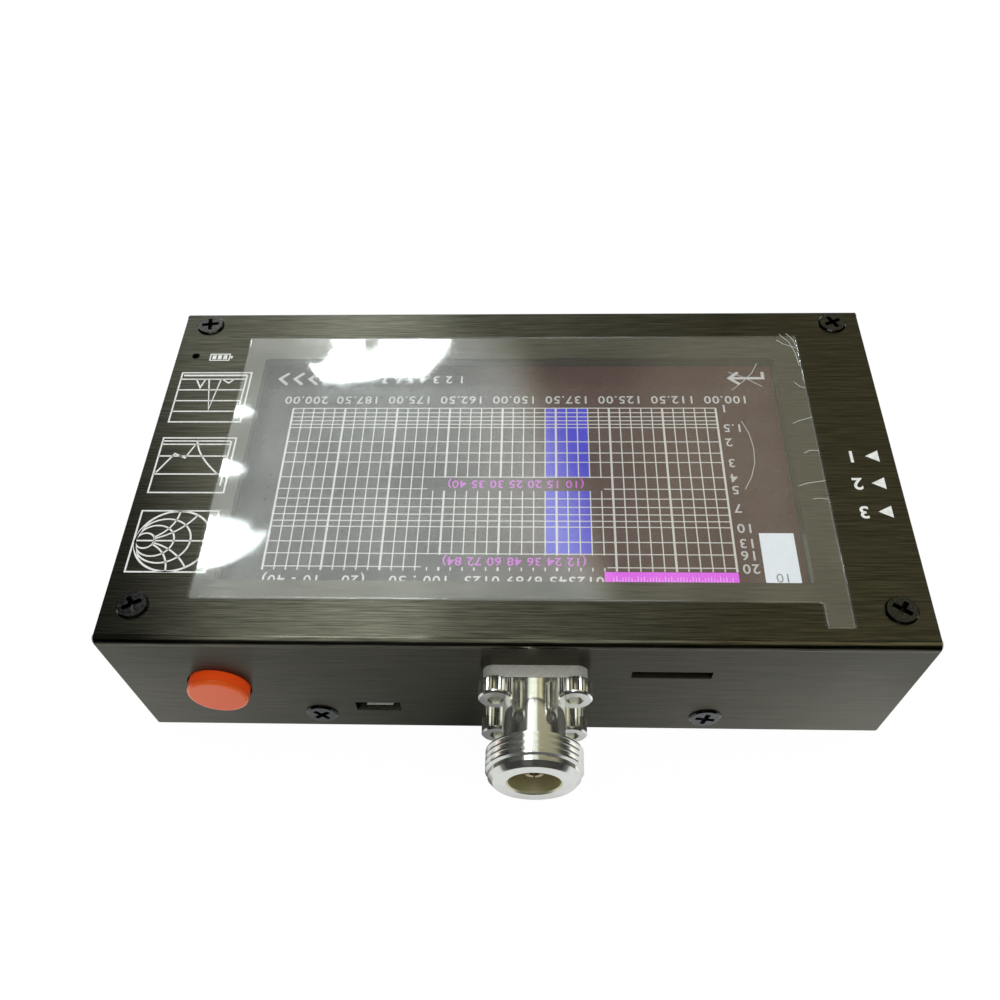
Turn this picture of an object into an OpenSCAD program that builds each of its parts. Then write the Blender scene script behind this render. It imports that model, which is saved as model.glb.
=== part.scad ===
// Hand-held antenna analyzer: a folded aluminium case in two halves, a 4.3 inch touch display
// under a window in the lid, a coaxial antenna port with four socket screws, a round power
// button, a charging socket and a card slot in the near wall.
// Frame: origin at the centre of the case's underside, +Z out of the display,
// -Y out of the wall that holds the antenna port. All lengths are in millimetres.

/* [Case] */
// Width of the case over the lid
case_w = 131; // [128:1:150]
// Depth of the case, near wall to far wall
case_d = 77.5; // [76:0.5:96]
// Height of the case
case_h = 28; // [27.5:0.5:36]
// Thickness of the folded sheet
sheet = 1.5; // [1:0.1:1.6]
// Inner radius of the folds
fold_r = 0.3; // [0.2:0.1:0.8]
// Outer radius of the folds, sharper than the bent sheet's own
fold_outer_r = 1.2; // [1:0.1:2.2]
// Gap between the two halves of the case
seam = 0.15; // [0.1:0.05:0.25]
// Radius of the walls' lower corners
wall_corner_r = 0.3; // [0.2:0.1:1.5]
// How far the sheet swells out at the end of a fold
fold_swell = 0.3; // [0.1:0.05:0.5]

/* [Window and film] */
// Width of the window in the lid
window_w = 96; // [80:1:98]
// Depth of the window in the lid
window_d = 52; // [40:1:54]
// Window's centre, from the lid's centre towards the far wall
window_y = -0.8; // [-2:0.1:1]
// Radius of the window's corners
window_r = 0.5; // [0.2:0.1:2]
// Width of the protective film
film_w = 105.4; // [100:0.2:108]
// Depth of the protective film
film_d = 62; // [58:0.5:63]
// Thickness of the protective film
film_t = 0.12; // [0.1:0.01:0.2]
// Film's centre, from the lid's centre to the right
film_x = 0.5; // [-1:0.1:1]
// Film's centre, from the lid's centre towards the far wall
film_y = 0.2; // [-0.5:0.1:0.5]
// Width of the film's pull tab
tab_w = 4.7; // [3:0.1:12]
// Length of the film's pull tab
tab_l = 4.8; // [3:0.1:6]

/* [Display] */
// Width of the display module
lcd_w = 105.5; // [103:0.5:107]
// Depth of the display module
lcd_d = 67.2; // [60:0.2:67.6]
// Thickness of the display module
lcd_t = 2.9; // [2.5:0.1:3.5]
// Width of the picture
active_w = 95.04; // [90:0.01:97]
// Depth of the picture
active_d = 53.86; // [50:0.01:55]
// Display's centre, from the lid's centre to the right
lcd_x = -0.3; // [-1:0.1:1]
// Display's centre, from the lid's centre towards the far wall
lcd_y = 0.5; // [0:0.1:1]
// Thickness of the display's steel can
can_t = 0.3; // [0.2:0.05:0.5]
// Width of the touch panel
touch_w = 104.6; // [101:0.2:105]
// Depth of the touch panel
touch_d = 65; // [58:0.5:66]
// Thickness of the touch panel
touch_t = 1.4; // [1.1:0.1:1.8]
// Thickness of the foam gasket round the window
gasket_t = 0.4; // [0.3:0.1:0.8]
// Width of the foam gasket
gasket_w = 2.6; // [1.5:0.1:3]
// Thickness of the tape between the display and the main board
tape_t = 0.2; // [0.1:0.1:0.5]
// Width of the display's flat cable
flex_w = 24; // [12:1:40]
// Thickness of the display's flat cable
flex_t = 0.2; // [0.1:0.05:0.3]

/* [Boards] */
// Thickness of the main board
board_t = 1.6; // [1.2:0.1:2]
// Gap between the main board and the walls round it
board_gap = 0.4; // [0.2:0.1:0.8]
// Width of the radio board
rf_w = 30; // [26:1:36]
// Depth of the radio board
rf_d = 27; // [24:1:30]
// Thickness of the radio board
rf_t = 1.6; // [1:0.1:1.8]
// Width of the radio board's shield can
shield_w = 22; // [16:1:24]
// Depth of the shield can
shield_d = 17; // [12:1:19]
// Height of the shield can
shield_h = 3.4; // [2:0.1:4]
// Thickness of the shield can
shield_t = 0.2; // [0.15:0.05:0.4]
// Width of the charging board
charger_w = 12.8; // [11:0.2:13.2]
// Depth of the charging board
charger_d = 26; // [22:1:30]
// Thickness of the charging board
charger_t = 1.6; // [1:0.1:2]
// Height of the posts under the charging board
post_h = 2.8; // [2:0.1:4]
// Diameter of the posts under the charging board
post_dia = 3.6; // [3:0.1:3.8]

/* [Lid and case screws] */
// Thread diameter of the lid screws
lid_screw_dia = 2.5; // [2:0.1:2.6]
// Head diameter of the lid screws
lid_head_dia = 5.2; // [4.5:0.1:6]
// How far the lid screws' sunk heads stand out of the lid
lid_head_out = 0.45; // [0.2:0.05:0.8]
// Head diameter of the screws under the main board
board_head_dia = 4.6; // [4:0.1:5]
// Head height of the screws under the main board
board_head_h = 1.7; // [1.2:0.1:2.2]
// Length of thread that each screw holds in a standoff
standoff_grip = 2.1; // [1.5:0.1:2.1]
// Diameter of the standoffs
standoff_dia = 4; // [3.6:0.1:4.1]
// Lid screws' distance from the side edges
lid_screw_in = 5; // [4:0.1:6]
// Near lid screws' distance from the near edge
lid_screw_near = 6.75; // [5:0.05:8]
// Far lid screws' distance from the far edge
lid_screw_far = 4; // [3.9:0.05:5]
// Thread diameter of the case screws
case_screw_dia = 3; // [2.5:0.1:3]
// Head diameter of the case screws
case_head_dia = 5.6; // [5:0.1:6.4]
// How far the case screws' sunk heads stand out of the wall
case_head_out = 0.5; // [0.2:0.05:0.8]
// Length of the case screws under the head
case_screw_l = 6; // [5:0.5:8]
// Case screws' distance from the centre line
case_screw_x = 34; // [33:0.5:38]
// Case screws' height above the base
case_screw_z = 4.6; // [4.5:0.1:6]
// Width of the lower half's screw tabs
lug_w = 8.6; // [7:0.2:9]
// Height of the lower half's screw tabs
lug_h = 8.2; // [8:0.2:9.4]
// Diameter of the nuts on the screw tabs
nut_dia = 5.4; // [5:0.1:5.8]
// Length of the nuts on the screw tabs
nut_l = 2.4; // [1.5:0.1:3]

/* [Antenna port] */
// Antenna port's centre, from the lid's centre to the right
port_x = 3.9; // [0:0.1:8]
// Height of the antenna port's axis above the base
port_z = 13.5; // [13:0.1:14.5]
// Side of the square flange
flange_w = 16.8; // [16:0.1:17.5]
// Thickness of the flange
flange_t = 2.3; // [1.6:0.1:3]
// Radius of the flange's corners
flange_r = 1.8; // [0.5:0.1:2.2]
// Spacing of the flange's screws
port_screw_pitch = 12.7; // [12.4:0.1:12.9]
// Outer diameter of the port's thread
thread_dia = 15.875; // [15:0.005:16.5]
// Pitch of the port's thread
thread_pitch = 1.058; // [0.9:0.001:1.5]
// Depth of the port's thread
thread_depth = 0.55; // [0.3:0.05:0.7]
// Number of thread ridges on the port
thread_ridges = 4; // [3:1:5]
// Port's length from the wall to its front ring
port_l = 17; // [16.5:0.1:22]
// Outer diameter of the front ring
ring_dia = 13.4; // [12.8:0.1:14]
// Diameter of the mating bore
bore_dia = 8.5; // [8:0.1:9]
// Depth of the mating bore
bore_l = 9.2; // [7:0.1:10]
// Diameter of the neck behind the thread
neck_dia = 10.6; // [10.2:0.1:11.2]
// Diameter of the neck's finer part, beside the flange
waist_dia = 10.3; // [8.6:0.1:10.6]
// Length of the neck's finer part
waist_l = 6.4; // [4:0.1:8]
// Diameter of the smooth land in front of the thread
land_dia = 15; // [14:0.1:15.5]
// Length of the smooth land
land_l = 0.7; // [0.4:0.1:1.5]
// Length of the chamfer from the land to the front ring
lead_l = 0.9; // [0.5:0.1:1.5]
// Diameter of the port's insulator
insulator_dia = 6.9; // [6:0.1:7.4]
// Diameter of the centre contact's socket
contact_dia = 3; // [2.4:0.1:3.4]
// Diameter of the centre contact's tail
tail_dia = 1.3; // [1:0.1:1.6]
// Length of the tail inside the case
tail_l = 5; // [4:0.1:6]
// Head diameter of the flange's socket screws
socket_head_dia = 5.5; // [5:0.1:5.6]
// Head height of the socket screws
socket_head_h = 3; // [2:0.1:3.5]
// Thread diameter of the socket screws
port_screw_dia = 3; // [2.5:0.1:3]
// Width across flats of the hex sockets
hex_flats = 2.5; // [2:0.1:3]
// Depth of the hex sockets
hex_l = 1.5; // [1:0.1:2]
// Number of ridges knurled round each socket screw head
knurl_count = 30; // [24:2:40]
// Depth of the knurling
knurl_l = 0.12; // [0.05:0.01:0.2]
// Width across flats of the hex nuts inside the wall
hex_nut_flats = 5.5; // [5:0.1:5.5]
// Thickness of the hex nuts
hex_nut_t = 2.4; // [1.6:0.1:2.6]

/* [Power button] */
// Button's centre, from the case's left edge
button_in = 15.9; // [11.5:0.1:19.5]
// Height of the button's axis above the base
button_z = 14; // [13.4:0.1:15]
// Diameter of the button cap
cap_dia = 10.2; // [8:0.1:11]
// How far the cap stands out of the wall
cap_out = 2.3; // [2.1:0.1:4]
// Length of the cap inside the wall
cap_in = 2.3; // [2:0.1:3.5]
// Radius of the cap's front edge
cap_edge_r = 0.7; // [0.3:0.1:1]
// How far the button travels
travel = 1.8; // [1:0.1:2]
// Gap round the cap in its hole
cap_gap = 0.25; // [0.15:0.05:0.5]
// Side of the square plunger
plunger_w = 3.2; // [2.6:0.1:3.6]
// Width of the switch body
switch_w = 8.5; // [7.5:0.1:9]
// Length of the switch body
switch_l = 11; // [9:0.5:14]
// Free length between the cap and the switch body
switch_gap = 3.4; // [2.6:0.1:4]

/* [Sockets] */
// Charging socket's centre, from the lid's centre to the left
usb_x = 23.5; // [23.3:0.1:24]
// Width of the charging slot in the wall
usb_slot_w = 7.9; // [7.7:0.1:9]
// Height of the charging slot in the wall
usb_slot_h = 2.9; // [2.8:0.1:3.4]
// Width of the charging socket's shell
usb_w = 7.5; // [7:0.1:7.6]
// Height of the charging socket's shell
usb_h = 2.6; // [2.4:0.1:2.7]
// Length of the charging socket's shell
usb_l = 5.6; // [5:0.1:7]
// How far the charging socket overhangs its board
usb_out = 1.9; // [1.9:0.1:2.5]
// Card slot's centre, from the lid's centre to the right
card_x = 26; // [24:0.5:40]
// Width of the card slot in the wall
card_slot_w = 13; // [12:0.1:13.8]
// Height of the card slot in the wall
card_slot_h = 2; // [1.6:0.1:2.2]
// Width of the card socket
card_w = 14; // [13.9:0.1:16]
// Depth of the card socket
card_l = 14.6; // [13:0.2:16]
// Height of the card socket
card_h = 1.9; // [1.7:0.1:2.2]
// Diameter of the light hole in the lid
led_hole_dia = 1.5; // [1:0.1:2.5]
// Light hole's distance from the left edge
led_in = 3.7; // [3.4:0.1:5]
// Light hole's centre, from the lid's centre towards the far wall
led_y = 26.1; // [20:0.1:28]

/* [Battery] */
// Length of the battery pouch
battery_w = 58; // [40:1:60]
// Depth of the battery pouch
battery_d = 38; // [30:1:40]
// Thickness of the battery pouch
battery_t = 8.5; // [6:0.5:9]
// Thickness of the foam pad under the battery
pad_t = 0.5; // [0.3:0.1:1]
// Battery's near side, from the lid's centre towards the near wall
battery_near = 4; // [2:0.5:7]
// Diameter of each battery wire
wire_dia = 1.3; // [1:0.1:1.6]
// Radius of the battery wires' bend, to the wire's middle
wire_bend = 2.5; // [2:0.1:3]
// Distance from the battery's end to its plug's middle
plug_out = 9; // [7:0.5:12]

/* [Hidden] */

$fn = 64;
// Overrun of a cut past the face it opens
over = 1;
// Gap left round parts that slide or screw into each other
fit_gap = 0.02;
// Gap on each side of the sliding plunger
slide_gap = 0.1;

// Case
fold_out = fold_outer_r;
fold_wall = fold_out - fold_r;
lid_under = case_h - sheet;
near_in = -case_d/2 + sheet;
far_in = case_d/2 - sheet;
side_out = case_w/2 - seam;
side_in = side_out - sheet;
floor_near = near_in + seam;
floor_top = sheet;
screw_clear = 0.2;
// Sheet left straight under a sunk head
sink_land = 0.15;
sink_h = sheet - sink_land;

// Stack that hangs under the lid, from the top down
touch_top = lid_under - gasket_t;
lcd_top = touch_top - touch_t;
lcd_under = lcd_top - lcd_t;
board_top = lcd_under - tape_t;
board_under = board_top - board_t;

// Lid screws and standoffs
lid_screw_x = case_w/2 - lid_screw_in;
lid_near_y = -case_d/2 + lid_screw_near;
lid_far_y = case_d/2 - lid_screw_far;
lid_points = [[-lid_screw_x, lid_near_y], [lid_screw_x, lid_near_y],
              [-lid_screw_x, lid_far_y], [lid_screw_x, lid_far_y]];

// Main board
board_x = side_in - board_gap;
board_near = near_in + board_gap;
board_far = far_in - board_gap;

// Antenna port
port_screw_half = port_screw_pitch/2;
port_points = [for (sx = [-1, 1], sz = [-1, 1]) [port_x + sx*port_screw_half, port_z + sz*port_screw_half]];
spigot_dia = neck_dia;
spigot_past = 0.6;
spigot_end = sheet + spigot_past;
nut_corner = hex_nut_flats/2/cos(30);
notch_w = port_screw_pitch + 2*nut_corner + 2*board_gap;
shank_past = 1.4;
port_shank_l = flange_t + sheet + hex_nut_t + shank_past;
notch_d = port_shank_l - flange_t - sheet + board_gap;
ridge_flat = thread_pitch/4;
thread_root = thread_dia/2 - thread_depth;
thread_end = port_l - lead_l - land_l;
thread_start = thread_end - thread_ridges*thread_pitch;
edge_break = 0.15;
bore_chamfer = 0.3;
contact_recess = 1.8;
contact_hold = 1.4;
contact_root = bore_l + contact_hold;
contact_base = 2;
finger_l = 4;
slot_t = 0.35;

// Radio board, under the port's tail
rf_top = port_z - tail_dia/2;
rf_under = rf_top - rf_t;
rf_near = -case_d/2 + spigot_end + board_gap;
shield_near = -case_d/2 + spigot_end + tail_l + board_gap;
header_w = 2.5;
header_l = 12.7;
header_h = 2.5;
header_pin = 0.64;
header_pitch = 2.54;

// Power button, along Y
button_at_x = -case_w/2 + button_in;
cap_front = -case_d/2 - cap_out;
cap_back = near_in + cap_in;
switch_front = cap_back + switch_gap;
plunger_hold = 6;
plunger_end = switch_front + plunger_hold;
plunger_sink = 1.2;
switch_rib = 1.2;
spring_wall = 0.5;
spring_in = plunger_w*sqrt(0.5) + slide_gap;

// Charging board and socket
charger_z = floor_top + post_h;
charger_top = charger_z + charger_t;
charger_near = near_in + usb_out + seam;
usb_z = charger_top + usb_h/2;
usb_front = charger_near - usb_out;
usb_wall = 0.3;
usb_narrow = 1.1;
usb_chamfer = 1.0;
usb_lip_w = 4.7;
usb_lip_l = 0.6;
usb_lip_t = 0.1;
usb_lip_drop = 0.06;
usb_tongue_t = 0.6;
usb_tongue_short = 0.7;
usb_back_t = 1;
charger_near_post = charger_near + usb_l - usb_out + post_dia/2;
charger_far_post = charger_near + charger_d - usb_out - post_dia/2;
charger_points = [for (sx = [-1, 1], y = [charger_near_post, charger_far_post])
    [-usb_x + sx*(charger_w - post_dia)/2, y]];
m2_dia = 1.6;
m2_head = 3;
m2_head_h = 1;

// Card socket under the main board
card_z = board_under - card_h/2;
card_front = near_in + seam;
card_wall = 0.3;
card_back_t = 2;

// Battery
battery_z = floor_top + pad_t;
battery_y = -battery_near + battery_d/2;
plug_x = -battery_w/2 - plug_out;
plug_y = 10;
wire_pitch = 2;
socket_w = 4.6;
socket_len = 6;
socket_h = 4.4;
plug_h = 3.2;
plug_inset = 0.5;
tongue_inset = 1;
wire_z = battery_z + battery_t/2;
plug_under = board_under - socket_h - plug_h;

// ---- helpers ----

// Box from its lowest and highest corners
module box(lo, hi) translate(lo) cube(hi - lo);

// Upright box, centred on x and y
module flat_block(w, d, h) {
    translate([-w/2, -d/2, 0]) cube([w, d, h]);
}

// The same with rounded corners
module round_slab(w, d, h, r) {
    linear_extrude(height = h) round_rect(w, d, r);
}

module round_rect(w, d, r) {
    square([w - 2*r, d], center = true);
    square([w, d - 2*r], center = true);
    for (sx = [-1, 1], sy = [-1, 1]) translate([sx*(w/2 - r), sy*(d/2 - r)]) circle(r);
}

// Cross-section of a sheet folded down or up along two edges
module fold_outline(half, h, r) {
    translate([-half, 0]) square([2*half, h - r]);
    translate([-half + r, 0]) square([2*(half - r), h]);
    for (s = [-1, 1]) translate([s*(half - r), h - r]) circle(r);
}

module folded_sheet(half, h) {
    difference() {
        fold_outline(half, h, fold_out);
        translate([0, -over]) fold_outline(half - sheet, h - sheet + over, fold_r);
    }
}

// Lays a shape drawn along +Z so that it points out of the near wall, at a place on the wall
module on_near_wall(x, z, y = -case_d/2) translate([x, y, z]) rotate([90, 0, 0]) children();

// The same, on the far wall
module on_far_wall(x, z) translate([x, case_d/2, z]) rotate([-90, 0, 0]) children();

// Cross recess cut in a screw head whose top is at h
module cross_recess(dia, h) {
    wing = dia*0.16;
    depth = dia*0.24;
    intersection() {
        for (a = [0, 90]) rotate([0, 0, a])
            translate([-dia/2, -wing/2, h - depth]) cube([dia, wing, dia]);
        translate([0, 0, h - depth]) cylinder(h = depth + dia*0.02, d1 = dia*0.3, d2 = dia*0.66);
    }
}

// Pan head standing on z = 0, with its shank down to -shank_l
module pan_screw(dia, head_dia, head_h, shank_l) {
    edge = head_h*0.45;
    difference() {
        union() {
            rotate_extrude() {
                square([head_dia/2 - edge, head_h]);
                square([head_dia/2, head_h - edge]);
                translate([head_dia/2 - edge, head_h - edge]) intersection() {
                    circle(edge);
                    square(edge);
                }
            }
            translate([0, 0, -shank_l]) cylinder(h = shank_l + head_h/4, d = dia);
        }
        cross_recess(head_dia, head_h);
    }
}

// Flat head sunk in the sheet, its rim standing rim_h out of it, with its shank down to -shank_l
module sunk_screw(dia, head_dia, rim_h, shank_l) {
    bevel = rim_h/2;
    difference() {
        union() {
            rotate_extrude() polygon([
                [0, -sink_h], [dia/2, -sink_h], [head_dia/2, 0], [head_dia/2, rim_h - bevel],
                [head_dia/2 - bevel, rim_h], [0, rim_h]
            ]);
            translate([0, 0, -shank_l]) cylinder(h = shank_l, d = dia);
        }
        cross_recess(head_dia, rim_h);
    }
}

// Hole in the sheet for a sunk screw, whose surface is z = 0
module sunk_hole(dia, head_dia) {
    seat_dia = head_dia + 2*fit_gap;
    translate([0, 0, -sink_h]) cylinder(h = sink_h, d1 = dia + 2*fit_gap, d2 = seat_dia);
    cylinder(h = over, d = seat_dia);
    translate([0, 0, -sheet - fold_r - over]) cylinder(h = sheet + fold_r + over, d = dia + 2*screw_clear);
}

// Hexagonal nut on z = 0, bored for a screw
module hex_nut(flats, t, dia) {
    difference() {
        cylinder(h = t, d = flats/cos(30), $fn = 6);
        translate([0, 0, -over]) cylinder(h = t + 2*over, d = dia + 2*fit_gap);
    }
}

// ---- case ----

// Small swelling of the sheet at each end of a fold
module fold_ends() {
    for (sx = [-1, 1], sy = [-1, 1])
        translate([sx*case_w/2, sy*(case_d/2 - fold_out), case_h - fold_out])
            rotate([0, sx*90, 0]) rotate([0, 0, sx > 0 ? (sy > 0 ? 90 : 180) : (sy > 0 ? 0 : -90)])
                rotate_extrude(angle = 90) polygon([
                    [fold_r, -over], [fold_out, -over], [fold_out, 0],
                    [fold_out - fold_wall*0.3, fold_swell], [fold_out - fold_wall*0.7, fold_swell], [fold_r, 0]
                ]);
}

module wall_corner_cuts() {
    for (sx = [-1, 1]) translate([sx*case_w/2, 0, 0]) rotate([90, 0, 0]) difference() {
        cube([2*wall_corner_r, 2*wall_corner_r, case_d + 2*over], center = true);
        translate([-sx*wall_corner_r, wall_corner_r, 0])
            cylinder(r = wall_corner_r, h = case_d + 4*over, center = true);
    }
}

// Cuts through the near wall
wall_cut = sheet + fold_r + over;

module round_hole(x, z, dia) {
    on_near_wall(x, z) translate([0, 0, -wall_cut]) cylinder(h = wall_cut + over, d = dia);
}

module slot(x, z, w, h) {
    on_near_wall(x, z) translate([-w/2, -h/2, -wall_cut]) cube([w, h, wall_cut + over]);
}

module top_shell() {
    color([0.13, 0.13, 0.12]) difference() {
        union() {
            rotate([90, 0, 90]) linear_extrude(height = case_w, center = true) folded_sheet(case_d/2, case_h);
            fold_ends();
        }
        wall_corner_cuts();
        translate([0, window_y, lid_under - over]) round_slab(window_w, window_d, sheet + 2*over, window_r);
        translate([-case_w/2 + led_in, led_y, lid_under - over])
            cylinder(h = sheet + 2*over, d = led_hole_dia);
        for (p = lid_points) translate([p[0], p[1], case_h]) sunk_hole(lid_screw_dia, lid_head_dia);
        round_hole(button_at_x, button_z, cap_dia + 2*cap_gap);
        slot(-usb_x, usb_z, usb_slot_w, usb_slot_h);
        slot(card_x, card_z, card_slot_w, card_slot_h);
        round_hole(port_x, port_z, spigot_dia + 2*fit_gap);
        for (p = port_points) round_hole(p[0], p[1], port_screw_dia + screw_clear);
        for (sx = [-1, 1]) {
            on_near_wall(sx*case_screw_x, case_screw_z) sunk_hole(case_screw_dia, case_head_dia);
            on_far_wall(sx*case_screw_x, case_screw_z) sunk_hole(case_screw_dia, case_head_dia);
        }
    }
}

// Nut's place on a screw tab; the nut's collar fills the tab's hole
module at_lugs() {
    for (sx = [-1, 1]) {
        translate([sx*case_screw_x, floor_near, case_screw_z]) rotate([-90, 0, 0]) children();
        translate([sx*case_screw_x, -floor_near, case_screw_z]) rotate([90, 0, 0]) children();
    }
}

nut_collar_wall = 0.7;
nut_collar_dia = case_screw_dia + 2*nut_collar_wall;

module bottom_shell() {
    color([0.12, 0.12, 0.11]) difference() {
        union() {
            intersection() {
                translate([0, -floor_near, 0]) rotate([90, 0, 0]) linear_extrude(height = -2*floor_near)
                    translate([0, lid_under - seam]) mirror([0, 1]) folded_sheet(side_out, lid_under - seam);
                rotate([90, 0, 90]) linear_extrude(height = case_w, center = true)
                    fold_outline(-floor_near, lid_under - seam, fold_r);
            }
            for (sx = [-1, 1], sy = [-1, 1]) translate([sx*case_screw_x, sy*-floor_near, 0])
                translate([-lug_w/2, sy > 0 ? -sheet : 0, 0]) cube([lug_w, sheet, lug_h]);
        }
        at_lugs() translate([0, 0, -over]) cylinder(h = sheet + 2*over, d = nut_collar_dia + 2*fit_gap);
    }
}

module case_nuts() {
    color([0.72, 0.72, 0.7]) at_lugs() difference() {
        union() {
            translate([0, 0, sheet]) cylinder(h = nut_l, d = nut_dia);
            cylinder(h = sheet + nut_l/2, d = nut_collar_dia);
        }
        translate([0, 0, -over]) cylinder(h = sheet + nut_l + 2*over, d = case_screw_dia + 2*fit_gap);
    }
}

module case_screw() {
    sunk_screw(case_screw_dia, case_head_dia, case_head_out, case_screw_l);
}

module case_screws() {
    color([0.06, 0.06, 0.06]) for (sx = [-1, 1]) {
        on_near_wall(sx*case_screw_x, case_screw_z) rotate([0, 0, 15 - 25*sx]) case_screw();
        on_far_wall(sx*case_screw_x, case_screw_z) rotate([0, 0, 35 - 10*sx]) case_screw();
    }
}

// How each lid screw's recess happens to be turned
lid_screw_turns = [32, -35, 8, 28];

module lid_screws() {
    color([0.06, 0.06, 0.06]) for (i = [0:3]) translate([lid_points[i][0], lid_points[i][1], case_h])
        rotate([0, 0, lid_screw_turns[i]])
            sunk_screw(lid_screw_dia, lid_head_dia, lid_head_out, sheet + standoff_grip);
}

module protective_film() {
    color([0.85, 0.9, 0.9, 0.4]) translate([0, 0, case_h]) {
        translate([film_x, film_y, 0]) flat_block(film_w, film_d, film_t);
        translate([film_x + film_w/2 - tab_w, film_y - film_d/2 - tab_l, 0])
            cube([tab_w, tab_l + over, film_t]);
    }
}

// ---- display stack ----

module standoffs() {
    color([0.8, 0.65, 0.3]) for (p = lid_points) translate([p[0], p[1], board_top]) difference() {
        cylinder(h = lid_under - board_top, d = standoff_dia);
        translate([0, 0, -over]) cylinder(h = case_h, d = lid_screw_dia + 2*fit_gap);
    }
}

module board_screws() {
    color([0.75, 0.75, 0.73]) for (p = lid_points) translate([p[0], p[1], board_under]) mirror([0, 0, 1])
        pan_screw(lid_screw_dia, board_head_dia, board_head_h, board_t + standoff_grip);
}

module display_gasket() {
    color([0.08, 0.08, 0.08]) translate([0, window_y, touch_top])
        linear_extrude(height = gasket_t) difference() {
            square([window_w + 2*gasket_w, window_d + 2*gasket_w], center = true);
            square([window_w, window_d], center = true);
        }
}

module touch_panel() {
    color([0.6, 0.68, 0.66, 0.5]) translate([lcd_x, lcd_y, lcd_top]) flat_block(touch_w, touch_d, touch_t);
}

// Lip of the steel can round the picture
picture_margin = 1.2;
picture_w = active_w + 2*picture_margin;
picture_d = active_d + 2*picture_margin;

module display_frame() {
    color([0.75, 0.76, 0.76]) translate([lcd_x, lcd_y, 0]) difference() {
        translate([0, 0, lcd_under]) flat_block(lcd_w, lcd_d, lcd_t);
        translate([0, 0, lcd_under + can_t]) flat_block(lcd_w - 2*can_t, lcd_d - 2*can_t, lcd_t - 2*can_t);
        translate([0, 0, lcd_top - can_t - over]) flat_block(picture_w, picture_d, can_t + 2*over);
    }
}

module display_panel() {
    color([0.1, 0.1, 0.14]) translate([lcd_x, lcd_y, lcd_under + can_t]) {
        flat_block(lcd_w - 2*can_t - 2*fit_gap, lcd_d - 2*can_t - 2*fit_gap, lcd_t - 2*can_t);
        flat_block(picture_w - 2*fit_gap, picture_d - 2*fit_gap, lcd_t - can_t - fit_gap);
    }
}

module display_tape() {
    color([0.9, 0.9, 0.86]) for (sx = [-1, 1]) translate([lcd_x + sx*lcd_w/4, lcd_y, board_top])
        flat_block(lcd_w/3, lcd_d*0.6, tape_t);
}

// Slot of the main board that the display's flat cable passes through
flex_y = lcd_y + lcd_d/2 + flex_t;
flex_slot_d = 1.2;
flex_socket_h = 1.2;
flex_socket_d = 4;
flex_socket_back = 6.5;
flex_socket_side = 2;
flex_socket_y = flex_y - flex_socket_back;

module display_flex() {
    low = board_under - flex_socket_h/2 - flex_t/2;
    high = lcd_under + lcd_t/2;
    color([0.75, 0.5, 0.2]) {
        box([-flex_w/2, lcd_y + lcd_d/2, high - flex_t], [flex_w/2, flex_y + flex_t, high]);
        box([-flex_w/2, flex_y, low], [flex_w/2, flex_y + flex_t, high]);
        box([-flex_w/2, flex_socket_y + flex_socket_d/2, low], [flex_w/2, flex_y + flex_t, low + flex_t]);
    }
}

module flex_socket() {
    half = flex_w/2 + flex_socket_side;
    color([0.85, 0.83, 0.76]) box([-half, flex_socket_y - flex_socket_d/2, board_under - flex_socket_h],
        [half, flex_socket_y + flex_socket_d/2, board_under]);
}

module main_board() {
    color([0.05, 0.28, 0.14]) difference() {
        box([-board_x, board_near, board_under], [board_x, board_far, board_top]);
        for (p = lid_points) translate([p[0], p[1], board_under - over])
            cylinder(h = board_t + 2*over, d = lid_screw_dia + screw_clear);
        box([port_x - notch_w/2, board_near - over, board_under - over],
            [port_x + notch_w/2, near_in + notch_d, board_top + over]);
        box([-flex_w/2 - flex_slot_d/2, flex_y - flex_slot_d/2 + flex_t/2, board_under - over],
            [flex_w/2 + flex_slot_d/2, flex_y + flex_slot_d/2 + flex_t/2, board_top + over]);
    }
}

// Chips and other pieces soldered under the main board: x, y, width, depth, height
chips = [[-18, 8, 14, 14, 1.4], [6, 12, 8, 5.3, 1.8], [-4, -4, 5, 3.2, 1.1], [30, 4, 6.5, 3.5, 1.7],
         [44, -14, 4, 4, 3], [22, 18, 10, 10, 1.2], [-46, 22, 5, 5, 2.4]];

module board_chips() {
    color([0.09, 0.09, 0.1]) for (c = chips)
        translate([c[0] - c[2]/2, c[1] - c[3]/2, board_under - c[4]]) cube([c[2], c[3], c[4]]);
}

module charge_light() {
    chip_w = 1.6;
    chip_h = 0.8;
    color([0.8, 0.15, 0.1]) translate([-case_w/2 + led_in, led_y, board_top]) {
        translate([-chip_w/2, -chip_w/4, 0]) cube([chip_w, chip_w/2, chip_h/2]);
        cylinder(h = chip_h, d = chip_w/2);
    }
}

module card_socket() {
    depth = card_l - card_back_t;
    color([0.78, 0.78, 0.76]) difference() {
        box([card_x - card_w/2, card_front, board_under - card_h],
            [card_x + card_w/2, card_front + card_l, board_under]);
        box([card_x - card_w/2 + card_wall*3, card_front - over, board_under - card_h + card_wall],
            [card_x + card_w/2 - card_wall*3, card_front + depth, board_under - card_wall*2]);
    }
}

// ---- radio board ----

module rf_board() {
    color([0.05, 0.28, 0.14])
        box([port_x - rf_w/2, rf_near, rf_under], [port_x + rf_w/2, rf_near + rf_d, rf_top]);
}

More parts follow.
